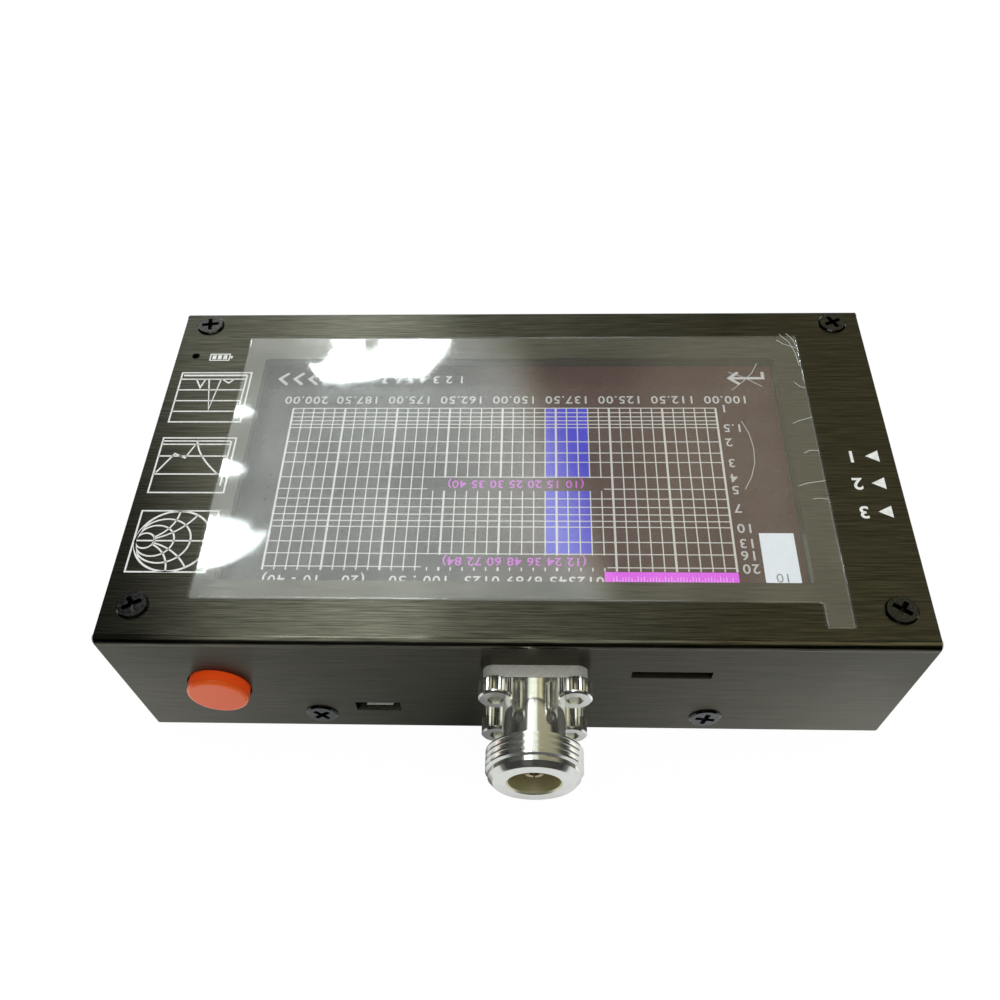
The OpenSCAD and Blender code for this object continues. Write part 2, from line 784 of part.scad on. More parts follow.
module rf_headers() {
    rows = floor(header_l/header_pitch);
    header_x = rf_w/2 - header_w/2;
    header_y = rf_near + rf_d - header_l/2 - board_gap;
    color([0.1, 0.1, 0.1]) for (sx = [-1, 1]) translate([port_x + sx*header_x, header_y, rf_top]) {
        translate([-header_w/2, -header_l/2, 0]) cube([header_w, header_l, header_h]);
        for (i = [0:rows - 1]) translate([-header_pin/2, (i - (rows - 1)/2)*header_pitch - header_pin/2, 0])
            cube([header_pin, header_pin, board_under - rf_top]);
    }
}

module rf_shield() {
    color([0.78, 0.78, 0.76]) difference() {
        box([port_x - shield_w/2, shield_near, rf_top],
            [port_x + shield_w/2, shield_near + shield_d, rf_top + shield_h]);
        box([port_x - shield_w/2 + shield_t, shield_near + shield_t, rf_top - over],
            [port_x + shield_w/2 - shield_t, shield_near + shield_d - shield_t, rf_top + shield_h - shield_t]);
    }
}

// ---- charging board ----

module charger_board() {
    color([0.06, 0.2, 0.45]) difference() {
        box([-usb_x - charger_w/2, charger_near, charger_z],
            [-usb_x + charger_w/2, charger_near + charger_d, charger_top]);
        for (p = charger_points) translate([p[0], p[1], charger_z - over])
            cylinder(h = charger_t + 2*over, d = m2_dia + screw_clear);
    }
}

module charger_posts() {
    color([0.8, 0.65, 0.3]) for (p = charger_points) translate([p[0], p[1], floor_top]) difference() {
        cylinder(h = post_h, d = post_dia);
        translate([0, 0, post_h/4]) cylinder(h = post_h, d = m2_dia + 2*fit_gap);
    }
}

module charger_screws() {
    color([0.75, 0.75, 0.73]) for (p = charger_points) translate([p[0], p[1], charger_top])
        pan_screw(m2_dia, m2_head, m2_head_h, charger_t + post_h/2);
}

module charger_wires() {
    wire_y = charger_near + charger_d/2 + wire_pitch;
    color([0.7, 0.1, 0.08]) for (i = [-1:1]) translate([-usb_x + i*wire_pitch, wire_y, charger_top])
        cylinder(h = board_under - charger_top, d = wire_dia);
}

// Cross-section of the socket's shell: narrow below, wide above
module usb_outline(w, h) {
    polygon([[-w/2, h/2], [w/2, h/2], [w/2, -h/2 + usb_chamfer], [w/2 - usb_narrow, -h/2],
             [-w/2 + usb_narrow, -h/2], [-w/2, -h/2 + usb_chamfer]]);
}

// Lip that flares out of the shell's lower edge
module usb_lip() {
    under = -usb_h/2;
    tip = under - usb_lip_drop;
    rotate([0, -90, 0]) linear_extrude(height = usb_lip_w, center = true)
        polygon([[0, under], [0, under + usb_wall], [usb_lip_l, tip + usb_lip_t], [usb_lip_l, tip]]);
}

module usb_socket() {
    tongue_w = usb_w/2;
    color([0.76, 0.76, 0.75]) on_near_wall(-usb_x, usb_z, usb_front) {
        difference() {
            translate([0, 0, -usb_l]) linear_extrude(height = usb_l) usb_outline(usb_w, usb_h);
            translate([0, 0, -usb_l + usb_back_t]) linear_extrude(height = usb_l)
                usb_outline(usb_w - 2*usb_wall, usb_h - 2*usb_wall);
        }
        translate([-tongue_w/2, -usb_tongue_t/2, -usb_l + usb_back_t/2])
            cube([tongue_w, usb_tongue_t, usb_l - usb_back_t/2 - usb_tongue_short]);
        usb_lip();
    }
}

// ---- battery ----

module battery() {
    seal = 1;
    color([0.8, 0.82, 0.83]) translate([0, battery_y, battery_z]) {
        translate([-battery_w/2, -battery_d/2, 0]) cube([battery_w - seal, battery_d, battery_t]);
        translate([battery_w/2 - seal - over, -battery_d/2, battery_t/2 - seal/2])
            cube([seal + over, battery_d, seal]);
    }
}

module battery_pad() {
    color([0.15, 0.15, 0.15]) translate([0, battery_y, floor_top])
        flat_block(battery_w*0.8, battery_d*0.8, pad_t);
}

// Two wires: out of the battery's end, round one bend, up to the plug
module battery_lead() {
    color([0.7, 0.1, 0.08]) for (sy = [-1, 1]) translate([0, plug_y + sy*wire_pitch/2, 0]) {
        translate([plug_x + wire_bend, 0, wire_z]) rotate([0, 90, 0])
            cylinder(h = -battery_w/2 - plug_x - wire_bend, d = wire_dia);
        translate([plug_x + wire_bend, 0, wire_z + wire_bend]) rotate([90, 0, 0]) rotate([0, 0, 180])
            rotate_extrude(angle = 90) translate([wire_bend, 0]) circle(d = wire_dia);
        translate([plug_x, 0, wire_z + wire_bend])
            cylinder(h = plug_under - wire_z - wire_bend, d = wire_dia);
    }
}

module battery_plug() {
    tongue = socket_h/2;
    wide = [socket_w - 2*plug_inset, socket_len - 2*plug_inset];
    slim = [socket_w - 2*tongue_inset, socket_len - 2*tongue_inset];
    color([0.9, 0.9, 0.85]) translate([plug_x, plug_y, plug_under]) {
        flat_block(wide[0], wide[1], plug_h);
        flat_block(slim[0], slim[1], plug_h + tongue);
    }
}

module battery_socket() {
    mouth = [socket_w - 2*tongue_inset + 2*slide_gap, socket_len - 2*tongue_inset + 2*slide_gap];
    mouth_h = socket_h/2 + slide_gap;
    color([0.9, 0.9, 0.85]) translate([plug_x, plug_y, board_under - socket_h]) difference() {
        flat_block(socket_w, socket_len, socket_h);
        translate([0, 0, -over]) flat_block(mouth[0], mouth[1], mouth_h + over);
    }
}

// ---- antenna port, drawn along +Z out of the wall ----

// Outline of the turned body: distance from the axis, distance from the wall
module port_outline() {
    root_half = thread_pitch/2 - ridge_flat/4;
    translate([0, -spigot_end]) square([spigot_dia/2, spigot_end + flange_t/2]);
    square([waist_dia/2, flange_t + waist_l]);
    translate([0, flange_t + waist_l]) square([neck_dia/2, thread_start - flange_t - waist_l]);
    translate([0, thread_start]) square([thread_root, thread_end - thread_start]);
    polygon([[0, thread_end], [land_dia/2, thread_end], [land_dia/2, port_l - lead_l],
             [ring_dia/2 + edge_break, port_l - edge_break], [ring_dia/2, port_l], [0, port_l]]);
    for (i = [0:thread_ridges - 1]) translate([0, thread_start + (i + 0.5)*thread_pitch]) polygon([
        [0, -root_half], [thread_root, -root_half], [thread_dia/2, -ridge_flat/2],
        [thread_dia/2, ridge_flat/2], [thread_root, root_half], [0, root_half]
    ]);
}

module port_body() {
    color([0.8, 0.8, 0.77]) on_near_wall(port_x, port_z) difference() {
        union() {
            rotate_extrude() port_outline();
            round_slab(flange_w, flange_w, flange_t, flange_r);
        }
        for (sx = [-1, 1], sy = [-1, 1]) translate([sx*port_screw_half, sy*port_screw_half, -over])
            cylinder(h = flange_t + 2*over, d = port_screw_dia + screw_clear);
        translate([0, 0, -spigot_end - over]) cylinder(h = port_l, d = insulator_dia + 2*fit_gap);
        translate([0, 0, port_l - bore_l]) cylinder(h = bore_l + over, d = bore_dia);
        translate([0, 0, port_l - bore_chamfer])
            cylinder(h = bore_chamfer + over, d1 = bore_dia, d2 = bore_dia + 2*(bore_chamfer + over));
    }
}

module port_insulator() {
    color([0.93, 0.92, 0.88]) on_near_wall(port_x, port_z) difference() {
        translate([0, 0, -spigot_end]) cylinder(h = port_l - bore_l + spigot_end, d = insulator_dia);
        translate([0, 0, -spigot_end - over]) cylinder(h = port_l + spigot_end, d = tail_dia + 2*fit_gap);
        translate([0, 0, port_l - contact_root]) cylinder(h = contact_root, d = contact_dia + 2*fit_gap);
    }
}

module port_contact() {
    pin_hole = contact_dia*0.54;
    socket_l = contact_root - contact_recess;
    color([0.85, 0.68, 0.32]) on_near_wall(port_x, port_z) difference() {
        union() {
            translate([0, 0, -spigot_end - tail_l]) cylinder(h = port_l + tail_l, d = tail_dia);
            translate([0, 0, port_l - contact_root]) cylinder(h = socket_l, d = contact_dia);
        }
        translate([0, 0, port_l - contact_root + contact_base]) cylinder(h = port_l, d = pin_hole);
        for (a = [0, 90]) rotate([0, 0, a])
            translate([-contact_dia, -slot_t/2, port_l - contact_recess - finger_l])
                cube([2*contact_dia, slot_t, finger_l + over]);
    }
}

// Knurled socket head with its shank, standing on the flange at z = 0
module socket_screw() {
    rim_h = 0.5;
    r = socket_head_dia/2;
    difference() {
        union() {
            linear_extrude(height = socket_head_h - rim_h) polygon([for (i = [0:2*knurl_count - 1])
                let (a = 180*i/knurl_count, k = i % 2 == 0 ? r : r - knurl_l) [k*cos(a), k*sin(a)]]);
            rotate_extrude() polygon([
                [0, socket_head_h/2], [r, socket_head_h - rim_h], [r, socket_head_h - rim_h/2],
                [r - rim_h/2, socket_head_h], [0, socket_head_h]
            ]);
            translate([0, 0, -port_shank_l])
                cylinder(h = port_shank_l + socket_head_h/2, d = port_screw_dia);
        }
        translate([0, 0, socket_head_h - hex_l]) cylinder(h = hex_l + over, d = hex_flats/cos(30), $fn = 6);
    }
}

module port_screws() {
    color([0.82, 0.82, 0.8]) for (p = port_points)
        on_near_wall(p[0], p[1], -case_d/2 - flange_t) socket_screw();
}

module port_nuts() {
    color([0.8, 0.8, 0.78]) for (p = port_points) translate([p[0], near_in, p[1]]) rotate([-90, 30, 0])
        hex_nut(hex_nut_flats, hex_nut_t, port_screw_dia);
}

// ---- power button ----

module power_switch() {
    w = switch_w/2;
    way_w = plunger_w + 2*slide_gap;
    way_l = plunger_hold + travel + slide_gap + over;
    color([0.1, 0.1, 0.11]) difference() {
        union() {
            box([button_at_x - w, switch_front, button_z - w],
                [button_at_x + w, switch_front + switch_l, button_z + w]);
            for (x = [-w, w - switch_rib]) translate([button_at_x + x, switch_front, button_z])
                cube([switch_rib, switch_l, board_under - button_z]);
        }
        translate([button_at_x, switch_front - over, button_z]) rotate([-90, 0, 0])
            flat_block(way_w, way_w, way_l);
    }
}

module switch_spring() {
    color([0.7, 0.7, 0.68]) translate([button_at_x, cap_back, button_z]) rotate([-90, 0, 0]) difference() {
        cylinder(h = switch_gap, r = spring_in + spring_wall);
        translate([0, 0, -over]) cylinder(h = switch_gap + 2*over, r = spring_in);
    }
}

module power_plunger() {
    color([0.85, 0.85, 0.82]) translate([button_at_x, cap_back - plunger_sink, button_z]) rotate([-90, 0, 0])
        flat_block(plunger_w, plunger_w, plunger_end - cap_back + plunger_sink);
}

module power_cap() {
    l = cap_back - cap_front;
    socket = plunger_w + 2*fit_gap;
    color([0.83, 0.24, 0.1]) translate([button_at_x, cap_back, button_z]) rotate([90, 0, 0]) difference() {
        rotate_extrude() {
            square([cap_dia/2 - cap_edge_r, l]);
            square([cap_dia/2, l - cap_edge_r]);
            translate([cap_dia/2 - cap_edge_r, l - cap_edge_r]) intersection() {
                circle(cap_edge_r);
                square(cap_edge_r);
            }
        }
        translate([0, 0, -over]) flat_block(socket, socket, plunger_sink + over);
    }
}

top_shell();
bottom_shell();
protective_film();
lid_screws();
case_screws();
case_nuts();
standoffs();
board_screws();
display_gasket();
touch_panel();
display_frame();
display_panel();
display_tape();
display_flex();
flex_socket();
main_board();
board_chips();
charge_light();
card_socket();
rf_board();
rf_headers();
rf_shield();
charger_board();
charger_posts();
charger_screws();
charger_wires();
usb_socket();
battery();
battery_pad();
battery_lead();
battery_plug();
battery_socket();
port_body();
port_insulator();
port_contact();
port_screws();
port_nuts();
power_switch();
switch_spring();
power_plunger();
power_cap();
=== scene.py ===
"""Looks of the antenna analyzer: dark brushed case, lit display under a film, plated port."""

import math

import bmesh
import bpy
from mathutils import Matrix, Vector, noise

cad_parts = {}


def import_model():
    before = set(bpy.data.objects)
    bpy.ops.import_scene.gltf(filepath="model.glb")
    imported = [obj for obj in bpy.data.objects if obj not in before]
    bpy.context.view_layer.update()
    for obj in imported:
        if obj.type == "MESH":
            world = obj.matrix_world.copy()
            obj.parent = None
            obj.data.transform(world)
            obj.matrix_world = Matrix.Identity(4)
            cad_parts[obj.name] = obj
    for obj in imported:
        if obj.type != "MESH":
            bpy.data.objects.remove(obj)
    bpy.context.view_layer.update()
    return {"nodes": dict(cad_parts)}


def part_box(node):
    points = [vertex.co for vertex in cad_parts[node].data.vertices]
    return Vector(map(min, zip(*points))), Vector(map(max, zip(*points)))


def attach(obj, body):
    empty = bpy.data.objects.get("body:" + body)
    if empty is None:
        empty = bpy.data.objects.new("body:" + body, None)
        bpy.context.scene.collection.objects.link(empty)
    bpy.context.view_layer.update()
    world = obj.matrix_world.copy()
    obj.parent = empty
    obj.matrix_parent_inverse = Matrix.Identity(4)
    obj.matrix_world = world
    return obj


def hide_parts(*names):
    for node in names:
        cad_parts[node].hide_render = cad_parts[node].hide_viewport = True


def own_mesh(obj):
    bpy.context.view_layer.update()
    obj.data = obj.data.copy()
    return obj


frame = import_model()
MM = 0.001

# ---------------------------------------------------------------- places taken from the frame


def corners_mm(node):
    """A node's lowest and highest corners, in millimetres."""
    low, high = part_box(node)
    return Vector(low) / MM, Vector(high) / MM


CASE_LOW, CASE_HIGH = corners_mm("top_shell")
LID = CASE_HIGH.z
SCREEN = corners_mm("display_panel")[1].z
SPRING_LOW, SPRING_HIGH = corners_mm("switch_spring")
CAP_FRONT = corners_mm("power_cap")[0].y
PORT_LOW, PORT_HIGH = corners_mm("port_body")
PORT_AXIS = (PORT_LOW + PORT_HIGH) / 2

# ---------------------------------------------------------------- node and material helpers


class Nodes:
    """Short ways to build a node tree. A value is a number or another node's output."""

    def __init__(self, tree):
        self.tree = tree

    def node(self, kind, **settings):
        made = self.tree.nodes.new(kind)
        for key, value in settings.items():
            setattr(made, key, value)
        return made

    def link(self, a, b):
        self.tree.links.new(a, b)

    def feed(self, socket, value):
        if isinstance(value, (int, float)):
            socket.default_value = value
        elif isinstance(value, tuple):
            socket.default_value = (*value, 1)
        else:
            self.link(value, socket)

    def math(self, operation, *values):
        made = self.node("ShaderNodeMath", operation=operation)
        for socket, value in zip(made.inputs, values):
            self.feed(socket, value)
        return made.outputs["Value"]

    def mix(self, kind, share, a, b):
        """Part a and part b, of kind FLOAT, RGBA or VECTOR; share is how much of b."""
        made = self.node("ShaderNodeMix", data_type=kind)
        for socket, value in (("Factor", share), ("A", a), ("B", b)):
            self.feed(made.inputs[socket], value)
        return made.outputs["Result"]

    def split(self, vector):
        """The x, y and z of a vector."""
        parts = self.node("ShaderNodeSeparateXYZ")
        self.link(vector, parts.inputs["Vector"])
        return [parts.outputs[axis] for axis in "XYZ"]


class Finish(Nodes):
    """A material with one Principled shader, and short ways to feed its sockets."""

    def __init__(self, name, color, metallic=0.0, roughness=0.5, **more):
        self.material = bpy.data.materials.new(name)
        self.material.use_nodes = True
        super().__init__(self.material.node_tree)
        self.shader = self.tree.nodes["Principled BSDF"]
        self.set("Base Color", color)
        self.set("Metallic", metallic)
        self.set("Roughness", roughness)
        for socket, value in more.items():
            self.set(socket.replace("_", " "), value)

    def set(self, socket, value):
        self.feed(self.shader.inputs[socket], value)

    def place(self, stretch=(1, 1, 1)):
        """Object coordinates, which are the frame's metres, stretched along each axis."""
        coords = self.node("ShaderNodeTexCoord")
        mapping = self.node("ShaderNodeMapping")
        mapping.inputs["Scale"].default_value = stretch
        self.link(coords.outputs["Object"], mapping.inputs["Vector"])
        return mapping.outputs["Vector"]

    def grain(self, scale, detail=4.0, stretch=(1, 1, 1), rough=0.55):
        """Noise with the given number of cells to a metre."""
        made = self.node("ShaderNodeTexNoise")
        made.inputs["Scale"].default_value = scale
        made.inputs["Detail"].default_value = detail
        made.inputs["Roughness"].default_value = rough
        self.link(self.place(stretch), made.inputs["Vector"])
        return made.outputs["Fac"]

    def spread(self, value, low, high, start=0.3, end=0.7):
        """Turns a value between start and end into one between low and high."""
        made = self.node("ShaderNodeMapRange")
        made.inputs["From Min"].default_value = start
        made.inputs["From Max"].default_value = end
        made.inputs["To Min"].default_value = low
        made.inputs["To Max"].default_value = high
        self.link(value, made.inputs["Value"])
        return made.outputs["Result"]

    def tint(self, value, low, high):
        """Blends two colours by a value from 0 to 1 and feeds the base colour."""
        self.set("Base Color", self.mix("RGBA", value, low, high))

    def roughen(self, value, low, high):
        """Feeds the roughness, from low to high, by a noise."""
        self.set("Roughness", self.spread(value, low, high))

    def bump(self, value, height, strength=1.0):
        """Raises the surface by a noise, with the height in metres."""
        made = self.node("ShaderNodeBump")
        made.inputs["Distance"].default_value = height
        made.inputs["Strength"].default_value = strength
        self.link(value, made.inputs["Height"])
        self.set("Normal", made.outputs["Normal"])


# ---------------------------------------------------------------- materials


# Brushing and tool marks, in cells to a metre along X, Y and Z
HAIR, STRAND, SIDE_HAIR = (160, 9000, 9000), (60, 3000, 3000), (9000, 160, 9000)
TOOL_MARKS, MILLING = (900, 9000, 900), (5200, 2400, 700)

# The last colour is a painted highlight along the sheet's right cut edge.
CASE_DARK, CASE_PALE, CASE_EDGE_HIGHLIGHT = (0.048, 0.0455, 0.034), (0.125, 0.1185, 0.089), (0.5, 0.49, 0.46)
EDGE_HIGHLIGHT_W, FOLD_R, SOFT_W = 0.4, 1.2, 0.2


def case_sheet():
    """Dark anodised sheet brushed level, smoother on its near fold, with a painted highlight along
    its right edge.
    """
    made = Finish("case_sheet", CASE_PALE, metallic=1.0, roughness=0.33, Anisotropic=1.0)
    facing_x = made.split(made.node("ShaderNodeNewGeometry").outputs["Normal"])[0]
    on_side = made.spread(made.math("ABSOLUTE", facing_x), 0, 1, 0.5, 0.6)
    turns = [made.node("ShaderNodeTangent", direction_type="RADIAL", axis=axis) for axis in "XY"]
    made.set("Tangent", made.mix("VECTOR", on_side, *[turn.outputs["Tangent"] for turn in turns]))
    level = made.mix("FLOAT", 0.35, made.grain(1.0, 3.0, HAIR), made.grain(1.0, 2.0, STRAND))
    brushed = made.mix("FLOAT", on_side, level, made.grain(1.0, 3.0, SIDE_HAIR))
    x, y, z = made.split(made.place())
    fold_y, fold_z, edge_x = CASE_LOW.y + FOLD_R, LID - FOLD_R, CASE_HIGH.x - EDGE_HIGHLIGHT_W
    high = made.spread(z, 0, 1, (fold_z - SOFT_W) * MM, fold_z * MM)
    near = made.spread(y, 1, 0, fold_y * MM, (fold_y + SOFT_W) * MM)
    right = made.spread(x, 0, 0.8, edge_x * MM, (edge_x + SOFT_W) * MM)
    highlight_breakup = made.spread(made.grain(900, 3.0), 0.4, 1)
    faint, strong = made.spread(brushed, 0, 1, 0.28, 0.72), made.spread(brushed, 0, 1, 0.41, 0.6)
    sheet = made.mix("RGBA", made.mix("FLOAT", high, faint, strong), CASE_DARK, CASE_PALE)
    # A painted highlight on the right cut edge of the lid, broken up by a fine noise.
    painted_highlight = made.math("MULTIPLY", made.math("MULTIPLY", right, high), highlight_breakup)
    made.set("Base Color", made.mix("RGBA", painted_highlight, sheet, CASE_EDGE_HIGHLIGHT))
    uneven = made.spread(made.mix("FLOAT", 0.35, brushed, made.grain(60, 3.0)), 0.29, 0.37)
    smooth = made.spread(brushed, 0.09, 0.18)
    made.set("Roughness", made.mix("FLOAT", made.math("MULTIPLY", high, near), uneven, smooth))
    made.bump(brushed, 0.000010, 0.5)
    return made.material


def black_steel():
    """Blackened steel with a fine speckle, for the screws."""
    made = Finish("black_steel", (0.06, 0.06, 0.058), metallic=1.0, roughness=0.16)
    speck = made.grain(2400, 5.0)
    made.tint(made.spread(speck, 0, 1), (0.035, 0.035, 0.034), (0.085, 0.085, 0.082))
    made.roughen(speck, 0.12, 0.2)
    made.bump(speck, 0.000004, 0.4)
    return made.material


NICKEL, NICKEL_DULL, BORE_TINT = (0.87, 0.865, 0.80), (0.783, 0.7785, 0.72), (0.84, 0.80, 0.55)
FLANGE_TINT, FLANGE_T, BORE_R = (0.55, 0.55, 0.49), 2.3, 4.6
FLANGE_EDGE = (0.05, 0.15)


def port_nickel():
    """Nickel plate with tool marks round the Y axis, satin on the milled flange and in the bore."""
    made = Finish("nickel", NICKEL, metallic=0.95, roughness=0.13)
    marks, cloud = made.grain(1.0, 3.0, TOOL_MARKS), made.grain(420)
    milling = made.grain(1.0, 3.0, MILLING)
    y = made.split(made.place())[1]
    flange = made.spread(y, 0, 1, *[(CASE_LOW.y - FLANGE_T + edge) * MM for edge in FLANGE_EDGE])
    from_axis = made.node("ShaderNodeVectorMath", operation="DISTANCE")
    made.link(made.place((1, 0, 1)), from_axis.inputs[0])
    from_axis.inputs[1].default_value = (PORT_AXIS.x * MM, 0, PORT_AXIS.z * MM)
    bore = made.spread(from_axis.outputs["Value"], 1, 0, (BORE_R - SOFT_W) * MM, BORE_R * MM)
    plate = made.mix("RGBA", made.spread(cloud, 0, 1), NICKEL_DULL, NICKEL)
    milled = made.math("MULTIPLY", flange, made.spread(milling, 0.3, 1))
    plate = made.mix("RGBA", milled, plate, FLANGE_TINT)
    made.set("Base Color", made.mix("RGBA", bore, plate, BORE_TINT))
    shiny = made.spread(made.mix("FLOAT", 0.5, marks, cloud), 0.09, 0.18)
    satin = made.spread(milling, 0.36, 0.55)
    made.set("Roughness", made.mix("FLOAT", made.math("MAXIMUM", flange, bore), shiny, satin))
    made.set("Metallic", made.spread(flange, 0.95, 0.5, 0, 1))
    made.bump(made.mix("FLOAT", flange, marks, milling), 0.000005, 0.5)
    return made.material


def turned_metal(name, color, roughness):
    """Plated metal with fine tool marks round the Y axis."""
    made = Finish(name, color, metallic=1.0, roughness=roughness)
    marks, cloud = made.grain(1.0, 3.0, TOOL_MARKS), made.grain(420)
    made.tint(made.spread(cloud, 0, 1), tuple(c * 0.9 for c in color), color)
    made.roughen(made.mix("FLOAT", 0.5, marks, cloud), roughness * 0.7, roughness * 1.4)
    made.bump(marks, 0.000004, 0.5)
    return made.material


def plain_metal(name, color, roughness, scale=700):
    """Metal without tool marks, a little cloudy in colour and gloss."""
    made = Finish(name, color, metallic=1.0, roughness=roughness)
    cloud = made.grain(scale, 5.0)
    made.tint(made.spread(cloud, 0, 1), tuple(c * 0.82 for c in color), color)
    made.roughen(cloud, roughness * 0.75, roughness * 1.3)
    made.bump(cloud, 0.000006, 0.4)
    return made.material


def moulded(name, color, roughness=0.4, height=0.00001, scale=2600, **more):
    """Moulded plastic, a little uneven in colour and gloss."""
    made = Finish(name, color, roughness=roughness, **more)
    fine, cloud = made.grain(scale), made.grain(120, 3.0)
    made.tint(made.spread(cloud, 0, 1), tuple(c * 0.9 for c in color), color)
    made.roughen(fine, roughness * 0.85, roughness * 1.2)
    made.bump(fine, height, 0.35)
    return made.material


# The rim colour is painted light: brighter and deeper orange than the face, for the light on the
# cap's upper side.
CAP_FACE, CAP_RIM_LIT, RIM_EDGE = (0.62, 0.085, 0.008), (0.97, 0.09, 0.012), (0.4, 0.9)


def button_cap():
    """Orange-red plastic; its rim is painted brighter and deeper orange than its face, as painted
    light.
    """
    made = Finish("cap_plastic", CAP_FACE, roughness=0.2, Specular_IOR_Level=0.22)
    y = made.split(made.place())[1]
    lit_rim = made.spread(y, 0, 1, *[(CAP_FRONT + edge) * MM for edge in RIM_EDGE])
    made.tint(lit_rim, CAP_FACE, CAP_RIM_LIT)
    made.roughen(made.grain(1800), 0.17, 0.23)
    return made.material


PANEL_GLOW, GLOW_FROM, GLOW_TO = (0.05, 0.016, 0.016), -15, 12


def display_glass():
    """The dark panel, with the brownish glow that black parts of the picture have at the right."""
    made = Finish("display_glass", (0.006, 0.006, 0.008), roughness=0.25, Specular_IOR_Level=0.2)
    x = made.split(made.place())[0]
    glow = made.spread(x, 0, 1, GLOW_FROM * MM, GLOW_TO * MM)
    made.set("Emission Strength", 1.0)
    made.set("Emission Color", made.mix("RGBA", glow, (0.0, 0.0, 0.0), PANEL_GLOW))
    made.roughen(made.grain(900), 0.2, 0.3)
    return made.material


def board(name, color, track):
    """Solder mask over copper tracks, which show as a darker and paler pattern."""
    made = Finish(name, color, roughness=0.3, Coat_Weight=0.4)
    tracks = made.node("ShaderNodeTexBrick")
    tracks.inputs["Scale"].default_value = 260
    tracks.inputs["Mortar Size"].default_value = 0.012
    made.link(made.place(), tracks.inputs["Vector"])
    made.tint(tracks.outputs["Fac"], color, track)
    made.bump(tracks.outputs["Fac"], 0.00002, 0.6)
    return made.material


def glass(name, color, alpha, roughness, scale=90, haze=0.0, smudged=1.0):
    """A clear sheet: what it mirrors lies over what is below, with a little haze and smudges."""
    made = Finish(name, color, metallic=1.0 - haze, roughness=roughness, Alpha=alpha)
    made.roughen(made.grain(scale, 3.0), roughness * 0.6, roughness * 1.6)
    smudges = made.spread(made.grain(scale / 3, 2.0), 0, 1, 0.4, 0.62)
    made.tint(smudges, color, tuple(c * smudged for c in color))
    return made.material


PICTURE_DOTS = 5050


def lit(name, color):
    """A lit part of the picture, with the faint weave of its dots."""
    made = Finish(name, (0.0, 0.0, 0.0), roughness=0.6)
    weave = made.spread(made.grain(PICTURE_DOTS, 1.0), 0, 1)
    made.set("Emission Strength", 1.0)
    made.set("Emission Color", made.mix("RGBA", weave, tuple(c * 0.86 for c in color), color))
    return made.material


def print_ink():
    """Pale ink, thin in places."""
    made = Finish("print_ink", (0.78, 0.79, 0.75), roughness=0.55)
    thin = made.grain(1500)
    made.tint(made.spread(thin, 0, 1, 0.25, 0.6), (0.6, 0.61, 0.57), (0.84, 0.85, 0.81))
    made.bump(thin, 0.000008, 0.5)
    return made.material


def lamp():
    """The charge light's red lens, unlit."""
    made = Finish("lamp", (0.7, 0.12, 0.08), roughness=0.25, Transmission_Weight=0.3)
    cloud = made.grain(900)
    made.tint(made.spread(cloud, 0, 1), (0.5, 0.06, 0.04), (0.85, 0.2, 0.12))
    return made.material


FINISHES = {
    "case_sheet": case_sheet(),
    "black_steel": black_steel(),
    "plated_steel": plain_metal("plated_steel", (0.72, 0.72, 0.7), 0.3),
    "nickel": port_nickel(),
    # The contact's gold is painted darker than gold plate, as painted shade deep in the bore.
    "gold_plate": turned_metal("gold_plate", (0.6, 0.52, 0.34), 0.4),
    "brass": plain_metal("brass", (0.72, 0.55, 0.24), 0.3),
    "port_insulator": moulded("port_insulator", (0.86, 0.84, 0.76), 0.45),
    "cap_plastic": button_cap(),
    "black_plastic": moulded("black_plastic", (0.018, 0.018, 0.02), 0.45),
    "pale_plastic": moulded("pale_plastic", (0.72, 0.70, 0.62), 0.5),
    "green_board": board("green_board", (0.012, 0.11, 0.045), (0.03, 0.2, 0.09)),
    "blue_board": board("blue_board", (0.012, 0.06, 0.2), (0.03, 0.12, 0.34)),
    "chip_epoxy": moulded("chip_epoxy", (0.02, 0.02, 0.022), 0.55, 0.00002, 5200),
    "tinned_steel": plain_metal("tinned_steel", (0.68, 0.68, 0.66), 0.34, 1200),
    "display_glass": display_glass(),
    "touch_glass": glass("touch_glass", (0.96, 0.98, 1.0), 0.012, 0.03),
    "film": glass("film", (1.0, 1.0, 0.97), 0.104, 0.04, 160, haze=0.15, smudged=0.78),
    "foam": moulded("foam", (0.02, 0.02, 0.02), 0.95, 0.00008, 3800),
    "tape": moulded("tape", (0.7, 0.68, 0.6), 0.8, 0.00002, 1500),
    "flex_film": moulded("flex_film", (0.42, 0.2, 0.05), 0.35, 0.00001, 800),
    "pouch_foil": plain_metal("pouch_foil", (0.62, 0.64, 0.66), 0.42, 260),
    "wire_red": moulded("wire_red", (0.5, 0.03, 0.02), 0.4),
    "lamp": lamp(),
}
INK = print_ink()
LINE_LIGHT = lit("picture_lines", (0.62, 0.63, 0.60))
NUMBER_LIGHT = lit("picture_numbers", (0.52, 0.53, 0.52))
BAND_LIGHT = lit("picture_band", (0.012, 0.006, 0.62))
NOTE_LIGHT = lit("picture_notes", (0.55, 0.06, 0.62))
BAR_LIGHT = lit("picture_bar", (0.85, 0.09, 0.95))
KEY_LIGHT = lit("picture_key", (0.82, 0.90, 0.95))
DARK_LIGHT = lit("picture_dark", (0.25, 0.26, 0.27))


